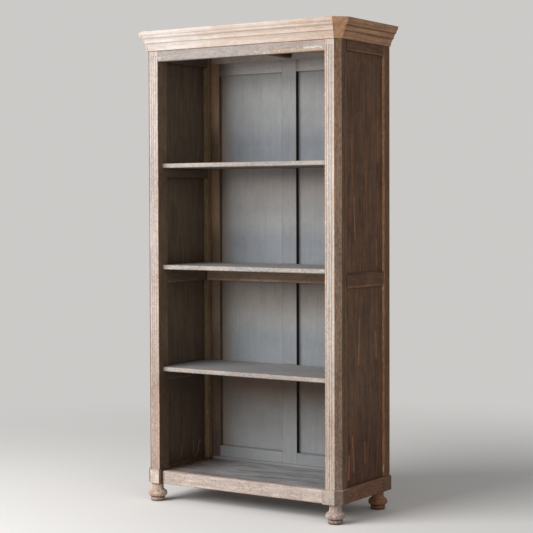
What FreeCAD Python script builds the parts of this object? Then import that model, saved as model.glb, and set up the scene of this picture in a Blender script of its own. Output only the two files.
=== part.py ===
import FreeCAD, Part
import math
import os

import Sketcher

# Tall open bookcase with a moulded cornice, fluted corner posts, panelled sides and back, and bun feet
# X runs to the right, the open front faces -Y, Z is up, and the origin is on the floor under the middle

# Driving sizes in millimetres
SIZES = {
    # The whole case
    "total_height": 2000.0,
    "body_width": 955.0,
    "body_depth": 413.0,
    "cornice_height": 81.0,
    "plinth_height": 60.0,
    "foot_height": 78.0,
    "joint_gap": 0.2,
    "overrun": 5.0,
    # Corner posts
    "post_width": 65.5,
    "front_post_depth": 64.0,
    "rear_post_depth": 50.0,
    "rear_post_bevel": 7.0,
    "post_chamfer": 22.0,
    "post_step_width": 12.0,
    "post_step_depth": 3.0,
    "post_tenon_side": 26.0,
    "post_tenon_length": 25.0,
    "flute_pitch": 11.0,
    "flute_radius": 3.4,
    "flute_depth": 1.5,
    "flute_offset": 10.5,
    "flute_top_stop": 22.0,
    "flute_bottom_stop": 6.0,
    # Rails and their tenons
    "frieze_height": 45.0,
    "frieze_thickness": 26.0,
    "frieze_edge_radius": 2.5,
    "side_top_rail_height": 43.0,
    "side_mid_rail_height": 60.0,
    "side_rail_edge_radius": 5.0,
    "tenon_thickness": 10.0,
    "tenon_length": 25.0,
    "tenon_shoulder": 10.0,
    "bearer_width": 26.0,
    "bearer_height": 21.0,
    "housing_depth": 6.0,
    # Side panels with their outer lining boards
    "panel_inner_recess": 24.0,
    "side_panel_thickness": 20.0,
    "tongue_thickness": 8.0,
    "tongue_length": 8.0,
    "side_lining_thickness": 12.0,
    # Framed back
    "back_frame_thickness": 25.0,
    "back_stile_width": 45.0,
    "back_muntin_width": 72.0,
    "back_top_rail_height": 52.0,
    "back_bottom_rail_height": 55.0,
    "back_upper_rail_height": 29.0,
    "back_panel_thickness": 6.0,
    "back_panel_recess": 18.0,
    "back_rebate": 8.0,
    "back_tenon_thickness": 8.0,
    "back_tenon_length": 20.0,
    "back_tenon_shoulder": 8.0,
    "floor_strip_size": 12.0,
    "floor_strip_sink": 2.0,
    "pin_radius": 1.1,
    "pin_length": 9.0,
    "pin_margin": 60.0,
    # Shelves and what carries them
    "shelf_thickness": 19.0,
    "lower_shelf_top": 575.0,
    "middle_shelf_top": 1011.0,
    "upper_shelf_top": 1443.0,
    "shelf_set_back": 29.5,
    "shelf_edge_radius": 2.0,
    "cleat_height": 40.0,
    "cleat_edge_radius": 2.5,
    "batten_height": 60.0,
    "batten_thickness": 34.0,
    "batten_tenon_length": 12.0,
    "screw_head_radius": 4.5,
    "screw_head_height": 2.5,
    "screw_shank_radius": 2.0,
    "screw_length": 36.0,
    "screw_margin": 45.0,
    # Plinth
    "block_inner_ledge": 10.0,
    "block_proud": 6.0,
    "block_rear_proud": 3.0,
    "front_block_depth": 72.0,
    "rear_block_depth": 60.0,
    "block_bevel": 3.0,
    "plinth_rail_set_back": 8.0,
    "plinth_rail_thickness": 24.0,
    "plinth_rail_edge_radius": 7.0,
    "side_plinth_step": 1.5,
    "plinth_tenon_length": 18.0,
    "floor_drop": 6.0,
    "floor_thickness": 18.0,
    "floor_bearer_width": 30.0,
    "floor_bearer_height": 24.0,
    "floor_bearer_spacing": 290.0,
    # Turned feet
    "foot_front_inset": 28.0,
    "foot_rear_inset": 39.0,
    "foot_collar_radius": 28.0,
    "foot_neck_radius": 25.0,
    "foot_bulb_radius": 40.5,
    "foot_pinch_radius": 28.5,
    "foot_ring_radius": 30.0,
    "foot_base_radius": 26.0,
    "foot_ring_height": 15.0,
    "foot_pinch_height": 18.0,
    "foot_bulb_height": 32.0,
    "foot_neck_height": 58.0,
    "foot_collar_height": 71.0,
    "foot_base_edge": 3.0,
    "foot_dowel_radius": 10.0,
    "foot_dowel_length": 28.0,
    # Cornice, its profile from the top edge down
    "cornice_projection": 41.0,
    "cornice_thickness": 20.0,
    "cornice_lip_height": 5.0,
    "cornice_fascia_height": 12.0,
    "cornice_fascia_slope": 4.5,
    "cornice_quirk_height": 2.0,
    "cornice_quirk_width": 2.5,
    "cornice_ovolo_height": 10.0,
    "cornice_ovolo_width": 4.0,
    "cornice_step_height": 3.0,
    "cornice_step_width": 4.0,
    "cornice_cove_height": 17.0,
    "cornice_cove_width": 5.5,
    "cornice_fillet_height": 3.0,
    "cornice_fillet_width": 4.5,
    "cornice_foot_projection": 5.0,
    "ceiling_thickness": 16.0,
    "cover_thickness": 14.0,
    "glue_block_side": 28.0,
}

flute_count = 3
pin_count = 4

# Bulge of an arc: its rise over its chord
quarter_bulge_share = math.tan(math.pi / 8) / 2
gentle_bulge_share = 0.12
bulb_low_bulge_share = 0.18
bulb_high_bulge_share = 0.12
neck_bulge_share = 0.16
corner_bulge_share = 0.05
# The mitre of a 45 degree turn moves along the face by this much of what it moves out
mitre_share = math.tan(math.pi / 8)

document = FreeCAD.newDocument("Bookcase")
sheet = document.addObject("Spreadsheet::Sheet", "Sizes")


class Length:
    """A number together with the sheet formula that gives it."""

    def __init__(self, number, formula):
        self.number = float(number)
        self.formula = formula

    def __add__(self, other):
        return Length(self.number + other.number, f"({self.formula} + {other.formula})")

    def __sub__(self, other):
        return Length(self.number - other.number, f"({self.formula} - {other.formula})")

    def __mul__(self, share):
        return Length(self.number * share, f"({self.formula} * {share!r})")

    def __truediv__(self, share):
        return Length(self.number / share, f"({self.formula} / {share!r})")

    def __neg__(self):
        return Length(-self.number, f"(0 - {self.formula})")


for row, (alias, number) in enumerate(SIZES.items(), start=1):
    sheet.set(f"A{row}", alias)
    sheet.set(f"B{row}", str(number))
    sheet.setAlias(f"B{row}", alias)
document.recompute()

size = {alias: Length(number, "Sizes." + alias) for alias, number in SIZES.items()}
zero = Length(0, "0")
parts = {}


def bind(thing, prop, length):
    """Tie a property of an object to the sheet."""
    thing.setExpression(prop, length.formula)


def node(name, thing):
    """Make an object the sub-part of this name."""
    thing.Label = name
    parts[name] = thing
    return thing


def grown(span, gap):
    """A span with a clearance at both ends."""
    low, high = span
    return (low - gap, high + gap)


def shrunk(span, gap):
    """A span drawn in at both ends."""
    low, high = span
    return (low + gap, high - gap)


def middle(span, width):
    """A span of this width in the middle of another."""
    low, high = span
    centre = (low + high) / 2
    return (centre - width / 2, centre + width / 2)


def across(span):
    """The same span on the other side of the middle plane."""
    low, high = span
    return (-high, -low)


def box(name, x, y, z):
    """A board between six faces."""
    solid = document.addObject("Part::Box", name)
    for prop, axis, (low, high) in (("Length", "x", x), ("Width", "y", y), ("Height", "z", z)):
        bind(solid, prop, high - low)
        bind(solid, "Placement.Base." + axis, low)
    return solid


def cylinder(name, radius, centre, height, axis):
    """A round rod from its centre point along an axis."""
    rod = document.addObject("Part::Cylinder", name)
    rod.Placement.Rotation = FreeCAD.Rotation(FreeCAD.Vector(0, 0, 1), axis)
    bind(rod, "Radius", radius)
    bind(rod, "Height", height)
    for place, length in zip("xyz", centre):
        bind(rod, "Placement.Base." + place, length)
    return rod


def fuse(name, pieces):
    """Several solids made into one."""
    if len(pieces) == 1:
        return pieces[0]
    whole = document.addObject("Part::MultiFuse", name)
    whole.Shapes = pieces
    whole.Refine = True
    return whole


def cut(name, base, cutters):
    """A solid with others taken away."""
    result = document.addObject("Part::Cut", name)
    result.Base = base
    result.Tool = fuse(name + "_cutters", cutters)
    result.Refine = True
    return result


def common(name, base, other):
    """What two solids share."""
    result = document.addObject("Part::Common", name)
    result.Base = base
    result.Tool = other
    result.Refine = True
    return result


def gather(name, pieces):
    """Loose solids kept together under one name."""
    group = document.addObject("Part::Compound", name)
    group.Links = pieces
    return group


def mirrored(name, source):
    """The left twin of a right-hand piece."""
    twin = document.addObject("Part::Mirroring", name)
    twin.Source = source
    twin.Normal = FreeCAD.Vector(1, 0, 0)
    return twin


def origin_feature(body, role):
    """The body's own plane or axis with this role."""
    for feature in body.Origin.OriginFeatures:
        if feature.Role == role:
            return feature
    raise ValueError("no origin feature " + role)


def arc_between(start, end, bulge_share):
    """An arc from start to end that bulges to the left of the way for a positive share."""
    chord = end - start
    radius = chord.Length * (1 + 4 * bulge_share**2) / (8 * abs(bulge_share))
    left = FreeCAD.Vector(-chord.y, chord.x, 0) / chord.Length
    side = math.copysign(1, bulge_share)
    apex = (start + end) / 2 + left * (chord.Length * bulge_share)
    centre = apex - left * (side * radius)
    first, last = (end, start) if side > 0 else (start, end)
    begin = math.atan2(first.y - centre.y, first.x - centre.x)
    finish = math.atan2(last.y - centre.y, last.x - centre.x)
    if finish < begin:
        finish += 2 * math.pi
    circle = Part.Circle(centre, FreeCAD.Vector(0, 0, 1), radius)
    return Part.ArcOfCircle(circle, begin, finish)


def outline(body, name, role, corners, offset=zero):
    """A closed sketch through corners (u, v, bulge share of the edge that follows), bound to the sheet."""
    sketch = body.newObject("Sketcher::SketchObject", name)
    sketch.AttachmentSupport = (origin_feature(body, role), [""])
    sketch.MapMode = "FlatFace"
    bind(sketch, "AttachmentOffset.Base.z", offset)
    ends = []
    for index, (u, v, bulge_share) in enumerate(corners):
        next_u, next_v, _ = corners[(index + 1) % len(corners)]
        start = FreeCAD.Vector(u.number, v.number, 0)
        end = FreeCAD.Vector(next_u.number, next_v.number, 0)
        if bulge_share:
            edge = sketch.addGeometry(arc_between(start, end, bulge_share), False)
            ends.append((edge, 2, 1) if bulge_share > 0 else (edge, 1, 2))
            radius_share = (1 + 4 * bulge_share**2) / (8 * abs(bulge_share))
            run, rise = next_u - u, next_v - v
            chord = f"sqrt({run.formula} ^ 2 + {rise.formula} ^ 2)"
            radius = math.hypot(run.number, rise.number) * radius_share
            place = sketch.addConstraint(Sketcher.Constraint("Radius", edge, radius))
            sketch.setExpression(f"Constraints[{place}]", f"{chord} * {radius_share!r}")
        else:
            edge = sketch.addGeometry(Part.LineSegment(start, end), False)
            ends.append((edge, 1, 2))
    for index, (edge, first, last) in enumerate(ends):
        next_edge, next_first, _ = ends[(index + 1) % len(ends)]
        sketch.addConstraint(Sketcher.Constraint("Coincident", edge, last, next_edge, next_first))
    for (edge, first, _), (u, v, _) in zip(ends, corners):
        for kind, length in (("DistanceX", u), ("DistanceY", v)):
            place = sketch.addConstraint(Sketcher.Constraint(kind, -1, 1, edge, first, length.number))
            sketch.setExpression(f"Constraints[{place}]", length.formula)
    return sketch


def pad(body, sketch, length):
    """A sketch made solid along its own normal."""
    feature = body.newObject("PartDesign::Pad", sketch.Name + "_pad")
    feature.Profile = sketch
    bind(feature, "Length", length)
    return feature


def rounded(u, v, radii):
    """A rectangle, counter-clockwise from its low corner, with a radius or None for each corner."""
    (low_u, high_u), (low_v, high_v) = u, v
    corners = ((low_u, low_v, 0, -1), (high_u, low_v, 1, 0), (high_u, high_v, 0, 1), (low_u, high_v, -1, 0))
    points = []
    for (corner_u, corner_v, way_u, way_v), radius in zip(corners, radii):
        if radius is None:
            points.append((corner_u, corner_v, 0))
            continue
        points.append((corner_u - radius * way_u, corner_v - radius * way_v, -quarter_bulge_share))
        points.append((corner_u - radius * way_v, corner_v + radius * way_u, 0))
    return points


def strip_along_x(name, x, y, z, radii):
    """A strip of rounded section that runs across the case."""
    body = document.addObject("PartDesign::Body", name)
    low, high = x
    pad(body, outline(body, name + "_section", "YZ_Plane", rounded(y, z, radii), low), high - low)
    return body


def strip_along_y(name, x, y, z, radii):
    """A strip of rounded section that runs from front to back."""
    body = document.addObject("PartDesign::Body", name)
    low, high = y
    pad(body, outline(body, name + "_section", "XZ_Plane", rounded(x, z, radii), -high), high - low)
    return body


def prism(name, corners, z):
    """An upright prism over a flat outline."""
    body = document.addObject("PartDesign::Body", name)
    low, high = z
    points = [(x, y, 0) for x, y in corners]
    pad(body, outline(body, name + "_outline", "XY_Plane", points, low), high - low)
    return body


# Planes that the pieces share
gap = size["joint_gap"]
overrun = size["overrun"]
half = size["body_width"] / 2
inner = half - size["post_width"]
front = (size["cornice_projection"] - size["body_depth"] - size["block_rear_proud"]) / 2
back = front + size["body_depth"]
front_post_back = front + size["front_post_depth"]
rear_post_front = back - size["rear_post_depth"]
plinth_top = size["foot_height"] + size["plinth_height"]
case_top = size["total_height"] - size["cornice_height"]
floor_top = plinth_top - size["floor_drop"]
panel_inner = inner + size["panel_inner_recess"]
back_frame_front = back - size["back_frame_thickness"]
shelf_front = front + size["shelf_set_back"]
between_posts = (front_post_back, rear_post_front)
post_x = (inner, half)
opening_x = (-inner, inner)
case_z = (plinth_top, case_top)
plinth_z = (size["foot_height"], plinth_top)
back_frame_y = (back_frame_front, back)

# Heights of the rails
frieze_z = (case_top - size["frieze_height"], case_top)
side_top_z = (case_top - size["side_top_rail_height"], case_top)
mid_rail_top = size["middle_shelf_top"] - size["shelf_thickness"]
side_mid_z = (mid_rail_top - size["side_mid_rail_height"], mid_rail_top)
side_top_low = side_top_z[0]
side_mid_low = side_mid_z[0]
back_upper_z = (case_top - size["back_upper_rail_height"], case_top)
batten_y = (back_frame_front - size["batten_thickness"], back_frame_front)
batten_z = (mid_rail_top - size["batten_height"], mid_rail_top)

# Tenon places, each used by the rail and grown for its mortise
frieze_y = (front, front + size["frieze_thickness"])
frieze_tenon = (
    (inner, inner + size["tenon_length"]),
    middle(frieze_y, size["tenon_thickness"]),
    shrunk(frieze_z, size["tenon_shoulder"]),
)
top_tenon_z = shrunk(side_top_z, size["tenon_shoulder"])
mid_tenon_z = shrunk(side_mid_z, size["tenon_shoulder"])
rail_tenon_x = middle(post_x, size["tenon_thickness"])
rail_tenon_front = (front_post_back - size["tenon_length"], front_post_back)
rail_tenon_rear = (rear_post_front, rear_post_front + size["tenon_length"])
post_tenon_x = middle(post_x, size["post_tenon_side"])
post_tenon_front = middle((front, front_post_back), size["post_tenon_side"])
post_tenon_rear = middle((rear_post_front, back), size["post_tenon_side"])
post_tenon_z = (plinth_top - size["post_tenon_length"], plinth_top)

back_upper_tenon = (
    (inner, inner + size["back_tenon_length"]),
    middle(back_frame_y, size["back_tenon_thickness"]),
    shrunk(back_upper_z, size["back_tenon_shoulder"]),
)
batten_tenon = (
    (inner, inner + size["batten_tenon_length"]),
    middle((rear_post_front, back_frame_front), size["tenon_thickness"]),
    shrunk(batten_z, size["tenon_shoulder"]),
)

# Side panels and their tongues
panel_x = (panel_inner, panel_inner + size["side_panel_thickness"])
tongue_x = middle(panel_x, size["tongue_thickness"])
tongue_level_y = shrunk(between_posts, size["tongue_length"])
upper_panel_z = (mid_rail_top, side_top_low)
lower_panel_z = (plinth_top, side_mid_low)


def mortise(name, spans):
    """The hole for a tenon, with its clearance."""
    return box(name, *(grown(span, gap) for span in spans))


def panel_grooves(name, y):
    """Grooves for the tongues of both side panels, over this depth of a post."""
    return [
        box(name + "_upper", grown(tongue_x, gap), y, upper_panel_z),
        box(name + "_lower", grown(tongue_x, gap), y, lower_panel_z),
    ]


def front_post():
    """A fluted post with a chamfered outer corner, its outer rear edge stepped, on a stub tenon."""
    body = document.addObject("PartDesign::Body", "front_post_body")
    chamfer = size["post_chamfer"]
    step_front = front_post_back - size["post_step_width"]
    step_face = half - size["post_step_depth"]
    corners = (
        (inner, front),
        (half - chamfer, front),
        (half, front + chamfer),
        (half, step_front),
        (step_face, step_front),
        (step_face, front_post_back),
        (inner, front_post_back),
    )
    points = [(x, y, 0) for x, y in corners]
    length = case_top - plinth_top
    pad(body, outline(body, "front_post_outline", "XY_Plane", points, plinth_top), length)
    document.recompute()
    full_volume = body.Shape.Volume

    sketch = body.newObject("Sketcher::SketchObject", "flute_section")
    sketch.AttachmentSupport = (origin_feature(body, "XY_Plane"), [""])
    sketch.MapMode = "FlatFace"
    flute_low = plinth_top + size["flute_bottom_stop"]
    flute_high = case_top - size["frieze_height"] + size["flute_top_stop"]
    bind(sketch, "AttachmentOffset.Base.z", flute_low)
    centre_x = inner + size["flute_offset"]
    centre_y = front - size["flute_radius"] + size["flute_depth"]
    centre = FreeCAD.Vector(centre_x.number, centre_y.number, 0)
    circle = Part.Circle(centre, FreeCAD.Vector(0, 0, 1), size["flute_radius"].number)
    ring = sketch.addGeometry(circle, False)
    for kind, length in (("DistanceX", centre_x), ("DistanceY", centre_y)):
        place = sketch.addConstraint(Sketcher.Constraint(kind, -1, 1, ring, 3, length.number))
        sketch.setExpression(f"Constraints[{place}]", length.formula)
    radius = size["flute_radius"]
    place = sketch.addConstraint(Sketcher.Constraint("Radius", ring, radius.number))
    sketch.setExpression(f"Constraints[{place}]", radius.formula)

    flute = body.newObject("PartDesign::Pocket", "flute")
    flute.Profile = sketch
    flute.Reversed = True
    bind(flute, "Length", flute_high - flute_low)
    document.recompute()
    if not body.Shape.Volume < full_volume:
        raise ValueError("the flute cuts nothing")
    flutes = body.newObject("PartDesign::LinearPattern", "flutes")
    flutes.Originals = [flute]
    flutes.Direction = (origin_feature(body, "X_Axis"), [""])
    flutes.Occurrences = flute_count
    bind(flutes, "Length", size["flute_pitch"] * (flute_count - 1))
    body.Tip = flutes

    tenon = box("front_post_tenon", post_tenon_x, post_tenon_front, post_tenon_z)
    groove_y = (front_post_back - size["tongue_length"] - gap, front_post_back + overrun)
    cutters = panel_grooves("front_post_groove", groove_y)
    cutters.append(mortise("frieze_mortise", frieze_tenon))
    cutters.append(mortise("side_top_mortise", (rail_tenon_x, rail_tenon_front, top_tenon_z)))
    cutters.append(mortise("side_mid_mortise", (rail_tenon_x, rail_tenon_front, mid_tenon_z)))
    return cut("front_post", fuse("front_post_whole", [body, tenon]), cutters)


def rear_post():
    """A square post on a stub tenon, its outer front edge bevelled beside the side panels."""
    bevel = size["rear_post_bevel"]
    corners = (
        (inner, rear_post_front),
        (half - bevel, rear_post_front),
        (half, rear_post_front + bevel),
        (half, back),
        (inner, back),
    )
    shaft = prism("rear_post_shaft", corners, case_z)
    tenon = box("rear_post_tenon", post_tenon_x, post_tenon_rear, post_tenon_z)
    groove_y = (rear_post_front - overrun, rear_post_front + size["tongue_length"] + gap)
    cutters = panel_grooves("rear_post_groove", groove_y)
    cutters.append(mortise("rear_top_mortise", (rail_tenon_x, rail_tenon_rear, top_tenon_z)))
    cutters.append(mortise("rear_mid_mortise", (rail_tenon_x, rail_tenon_rear, mid_tenon_z)))
    cutters.append(mortise("back_upper_mortise", back_upper_tenon))
    cutters.append(mortise("batten_mortise", batten_tenon))
    return cut("rear_post", fuse("rear_post_whole", [shaft, tenon]), cutters)


def side_rail(name, z, radii, tenon_z):
    """A side rail between the posts, tenoned into both, its outer edges rounded."""
    board = strip_along_y(name + "_board", post_x, between_posts, z, radii)
    front_tenon = box(name + "_front_tenon", rail_tenon_x, rail_tenon_front, tenon_z)
    rear_tenon = box(name + "_rear_tenon", rail_tenon_x, rail_tenon_rear, tenon_z)
    return fuse(name + "_whole", [board, front_tenon, rear_tenon])


def side_panel(name, z):
    """A side panel with a tongue on each edge."""
    y = between_posts
    board = box(name + "_board", panel_x, y, z)
    tongue_y = grown(y, size["tongue_length"])
    upright = box(name + "_upright_tongue", tongue_x, tongue_y, shrunk(z, gap))
    level = box(name + "_level_tongue", tongue_x, tongue_level_y, grown(z, size["tongue_length"]))
    return fuse(name, [board, upright, level])


def tongue_groove(name, z):
    """The groove for a panel's level tongue in the rail above or below it."""
    return box(name, grown(tongue_x, gap), grown(tongue_level_y, gap), z)


# Posts
node("front_post_right", front_post())
node("front_post_left", mirrored("front_post_twin", parts["front_post_right"]))
node("rear_post_right", rear_post())
node("rear_post_left", mirrored("rear_post_twin", parts["rear_post_right"]))

# Frieze rail, housed for the bearer under the top
bearer_x = (-size["bearer_width"] / 2, size["bearer_width"] / 2)
bearer_z = (case_top - size["bearer_height"], case_top)
bearer_y = grown((frieze_y[1], back_frame_front), size["housing_depth"])
frieze_radii = (size["frieze_edge_radius"], None, None, None)
frieze_parts = [
    strip_along_x("frieze_strip", opening_x, frieze_y, frieze_z, frieze_radii),
    box("frieze_tenon_right", *frieze_tenon),
    box("frieze_tenon_left", across(frieze_tenon[0]), *frieze_tenon[1:]),
]
bearer_housing = [mortise("bearer_housing", (bearer_x, bearer_y, bearer_z))]
node("frieze_rail", cut("frieze", fuse("frieze_whole", frieze_parts), bearer_housing))
node("top_bearer", box("bearer", bearer_x, bearer_y, bearer_z))

# Side frames
groove_depth = size["tongue_length"] + gap
top_groove = tongue_groove("top_rail_groove", (side_top_low - overrun, side_top_low + groove_depth))
rail_radius = size["side_rail_edge_radius"]
side_top_board = side_rail("side_top", side_top_z, (None, rail_radius, None, None), top_tenon_z)
node("side_top_rail_right", cut("side_top_rail", side_top_board, [top_groove]))
node("side_top_rail_left", mirrored("side_top_rail_twin", parts["side_top_rail_right"]))
mid_grooves = [
    tongue_groove("mid_rail_groove_top", (mid_rail_top - groove_depth, mid_rail_top + overrun)),
    tongue_groove("mid_rail_groove_low", (side_mid_low - overrun, side_mid_low + groove_depth)),
]
side_mid_board = side_rail("side_mid", side_mid_z, (None, rail_radius, rail_radius, None), mid_tenon_z)
node("side_mid_rail_right", cut("side_mid_rail", side_mid_board, mid_grooves))
node("side_mid_rail_left", mirrored("side_mid_rail_twin", parts["side_mid_rail_right"]))

# Cleats under the upper and lower shelves, each screwed to its side
cleat_x = (inner, panel_inner)
screw_places = {
    "front": front_post_back + size["screw_margin"],
    "rear": rear_post_front - size["screw_margin"],
}
screws, cleat_holes, pilot_holes = [], {}, {}
inward = FreeCAD.Vector(-1, 0, 0)
for level in ("lower", "upper"):
    cleat_top = size[level + "_shelf_top"] - size["shelf_thickness"]
    screw_z = cleat_top - size["cleat_height"] / 2
    cleat_holes[level], pilot_holes[level] = [], []
    for place, screw_y in screw_places.items():
        name = f"{level}_{place}_screw"
        tip = (inner + size["screw_length"], screw_y, screw_z)
        seat = (inner + size["screw_head_height"], screw_y, screw_z)
        hole = (inner + size["screw_length"] + gap, screw_y, screw_z)
        seat_end = (inner + size["screw_head_height"] + gap, screw_y, screw_z)
        shank = cylinder(name + "_shank", size["screw_shank_radius"], tip, size["screw_length"], inward)
        head = cylinder(name + "_head", size["screw_head_radius"], seat, size["screw_head_height"], inward)
        screws.append(fuse(name, [shank, head]))
        shank_bore, head_bore = size["screw_shank_radius"] + gap, size["screw_head_radius"] + gap
        hole_depth, sink_depth = size["screw_length"] + overrun, size["screw_head_height"] + overrun
        shank_hole = cylinder(name + "_hole", shank_bore, hole, hole_depth, inward)
        head_hole = cylinder(name + "_sink", head_bore, seat_end, sink_depth, inward)
        cleat_holes[level] += [shank_hole, head_hole]
        pilot_holes[level].append(shank_hole)
    cleat_z = (cleat_top - size["cleat_height"], cleat_top)
    cleat_radii = (size["cleat_edge_radius"], None, None, None)
    cleat_board = strip_along_y(level + "_cleat_strip", cleat_x, between_posts, cleat_z, cleat_radii)
    cleat = node(f"cleat_{level}_right", cut(level + "_cleat", cleat_board, cleat_holes[level]))
    node(f"cleat_{level}_left", mirrored(level + "_cleat_twin", cleat))
screws_right = gather("screws_right", screws)
node("cleat_screws", gather("screws_all", [screws_right, mirrored("screws_left", screws_right)]))

# Side panels and the boards that line them outside
side_lining_x = (panel_x[1], panel_x[1] + size["side_lining_thickness"])
linings = []
for level, panel_z in (("lower", lower_panel_z), ("upper", upper_panel_z)):
    whole_panel = side_panel(level + "_panel_whole", panel_z)
    panel = node(f"side_panel_{level}_right", cut(level + "_panel", whole_panel, pilot_holes[level]))
    node(f"side_panel_{level}_left", mirrored(level + "_panel_twin", panel))
    linings.append(box(level + "_lining", side_lining_x, between_posts, panel_z))
node("side_lining_right", gather("linings_right", linings))
node("side_lining_left", mirrored("linings_left", parts["side_lining_right"]))

# Framed back
stile_x = (inner - size["back_stile_width"], inner)
muntin_x = (-size["back_muntin_width"] / 2, size["back_muntin_width"] / 2)
back_z = (plinth_top, back_upper_z[0])
back_top_z = (back_z[1] - size["back_top_rail_height"], back_z[1])
back_bottom_z = (back_z[0], back_z[0] + size["back_bottom_rail_height"])
back_rail_x = (muntin_x[1], stile_x[0])
back_tenon_y = middle(back_frame_y, size["back_tenon_thickness"])
rebate_front = back_frame_front + size["back_panel_recess"]
rebate_x = grown(back_rail_x, size["back_rebate"] + gap)
rebate_z = grown((back_bottom_z[1], back_top_z[0]), size["back_rebate"] + gap)
rebate = box("back_rebate_right", rebate_x, (rebate_front, back + overrun), rebate_z)
rebate_twin = mirrored("back_rebate_left", rebate)


def back_rail(name, z):
    """A rail of the back frame, tenoned into the muntin and the stile, rebated for the panel."""
    rail = box(name + "_rail", back_rail_x, back_frame_y, z)
    tenon_x = grown(back_rail_x, size["back_tenon_length"])
    tenon = box(name + "_tenon", tenon_x, back_tenon_y, shrunk(z, size["tenon_shoulder"]))
    return cut(name, fuse(name + "_whole", [rail, tenon]), [rebate])


def back_mortises(name, x):
    """Mortises for the tenons of both rails over this width."""
    return [
        mortise(name + "_top", (x, back_tenon_y, shrunk(back_top_z, size["tenon_shoulder"]))),
        mortise(name + "_bottom", (x, back_tenon_y, shrunk(back_bottom_z, size["tenon_shoulder"]))),
    ]


for level, rail_z in (("top", back_top_z), ("bottom", back_bottom_z)):
    rail = node(f"back_{level}_rail_right", back_rail(f"back_{level}_rail", rail_z))
    node(f"back_{level}_rail_left", mirrored(f"back_{level}_rail_twin", rail))

panel_back = rebate_front + size["back_panel_thickness"]
back_panel_x = shrunk(rebate_x, gap)
back_panel_z = shrunk(rebate_z, gap)
pins, pin_holes = [], []
pin_depth_y = panel_back - size["pin_length"]
pin_low = back_panel_z[0] + size["pin_margin"]
pin_step = (back_panel_z[1] - back_panel_z[0] - size["pin_margin"] * 2) / (pin_count - 1)
backward = FreeCAD.Vector(0, 1, 0)
pin_edges = (("outer", stile_x[0], back_panel_x[1]), ("inner", back_panel_x[0], muntin_x[1]))
for number in range(pin_count):
    for edge, low_x, high_x in pin_edges:
        name = f"pin_{edge}_{number}"
        pin_x = (low_x + high_x) / 2
        pin_z = pin_low + pin_step * number
        start = (pin_x, pin_depth_y, pin_z)
        deep = (pin_x, pin_depth_y - gap, pin_z)
        pins.append(cylinder(name, size["pin_radius"], start, size["pin_length"], backward))
        hole_depth = size["pin_length"] + overrun
        pin_holes.append(cylinder(name + "_hole", size["pin_radius"] + gap, deep, hole_depth, backward))
back_panel_board = box("back_panel_board", back_panel_x, (rebate_front, panel_back), back_panel_z)
node("back_panel_right", cut("back_panel", back_panel_board, pin_holes))
node("back_panel_left", mirrored("back_panel_twin", parts["back_panel_right"]))
pins_right = gather("pins_right", pins)
node("back_pins", gather("pins_all", [pins_right, mirrored("pins_left", pins_right)]))

# The pins reach into the stiles and the muntin behind the rebate
pin_holes_right = gather("pin_holes_right", pin_holes)
pin_holes_left = mirrored("pin_holes_left", pin_holes_right)
stile_mortise_x = (stile_x[0], stile_x[0] + size["back_tenon_length"])
muntin_mortise_x = (muntin_x[1] - size["back_tenon_length"], muntin_x[1])
stile_cutters = [rebate, pin_holes_right] + back_mortises("stile_mortise", stile_mortise_x)
node("back_stile_right", cut("back_stile", box("stile_board", stile_x, back_frame_y, back_z), stile_cutters))
node("back_stile_left", mirrored("back_stile_twin", parts["back_stile_right"]))
muntin_cutters = [rebate, rebate_twin, pin_holes_right, pin_holes_left]
muntin_cutters += back_mortises("muntin_mortise", muntin_mortise_x)
muntin_cutters += back_mortises("muntin_mortise_twin", across(muntin_mortise_x))
node("back_muntin", cut("muntin", box("muntin_board", muntin_x, back_frame_y, back_z), muntin_cutters))

# Rail above the framed back, housed for the bearer
back_upper_parts = [
    box("back_upper_board", opening_x, back_frame_y, back_upper_z),
    box("back_upper_tenon_right", *back_upper_tenon),
    box("back_upper_tenon_left", across(back_upper_tenon[0]), *back_upper_tenon[1:]),
]
node("back_upper_rail", cut("back_upper", fuse("back_upper_whole", back_upper_parts), bearer_housing))


def shelf(name, top):
    """A shelf with a softened front edge, notched round the four posts."""
    low = top - size["shelf_thickness"]
    edge = size["shelf_edge_radius"]
    reach = panel_inner - gap
    z = (low, top)
    y = (shelf_front, back_frame_front)
    board = strip_along_x(name + "_board", (-reach, reach), y, z, (edge, None, None, edge))
    notch_x = (inner - gap, panel_inner + overrun)
    notch_z = grown(z, overrun)
    notches = [
        box(name + "_front_notch", notch_x, (front, front_post_back + gap), notch_z),
        box(name + "_rear_notch", notch_x, (rear_post_front - gap, back), notch_z),
    ]
    notches += [mirrored(notch.Name + "_twin", notch) for notch in notches]
    return cut(name, board, notches)


for level in ("lower", "middle", "upper"):
    node("shelf_" + level, shelf(level + "_shelf", size[level + "_shelf_top"]))

# Batten across the back under the middle shelf, tenoned into the rear posts
batten_radii = (size["cleat_edge_radius"], None, None, None)
batten_parts = [
    strip_along_x("batten_strip", opening_x, batten_y, batten_z, batten_radii),
    box("batten_tenon_right", *batten_tenon),
    box("batten_tenon_left", across(batten_tenon[0]), *batten_tenon[1:]),
]
node("middle_shelf_batten", fuse("batten", batten_parts))

# Plinth blocks on the feet, with a bevelled top edge
block_x = (inner - size["block_inner_ledge"], half + size["block_proud"])
block_front = front - size["block_proud"]
front_block_y = (block_front, block_front + size["front_block_depth"])
block_back = back + size["block_rear_proud"]
rear_block_y = (block_back - size["rear_block_depth"], block_back)
between_blocks = (front_block_y[1], rear_block_y[0])
block_chamfer = size["post_chamfer"] + size["block_proud"] * (mitre_share * 2 / (1 + mitre_share))
foot_x = (block_x[0] + block_x[1]) / 2
foot_front_y = front + size["foot_front_inset"]
foot_rear_y = back - size["foot_rear_inset"]

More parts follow.
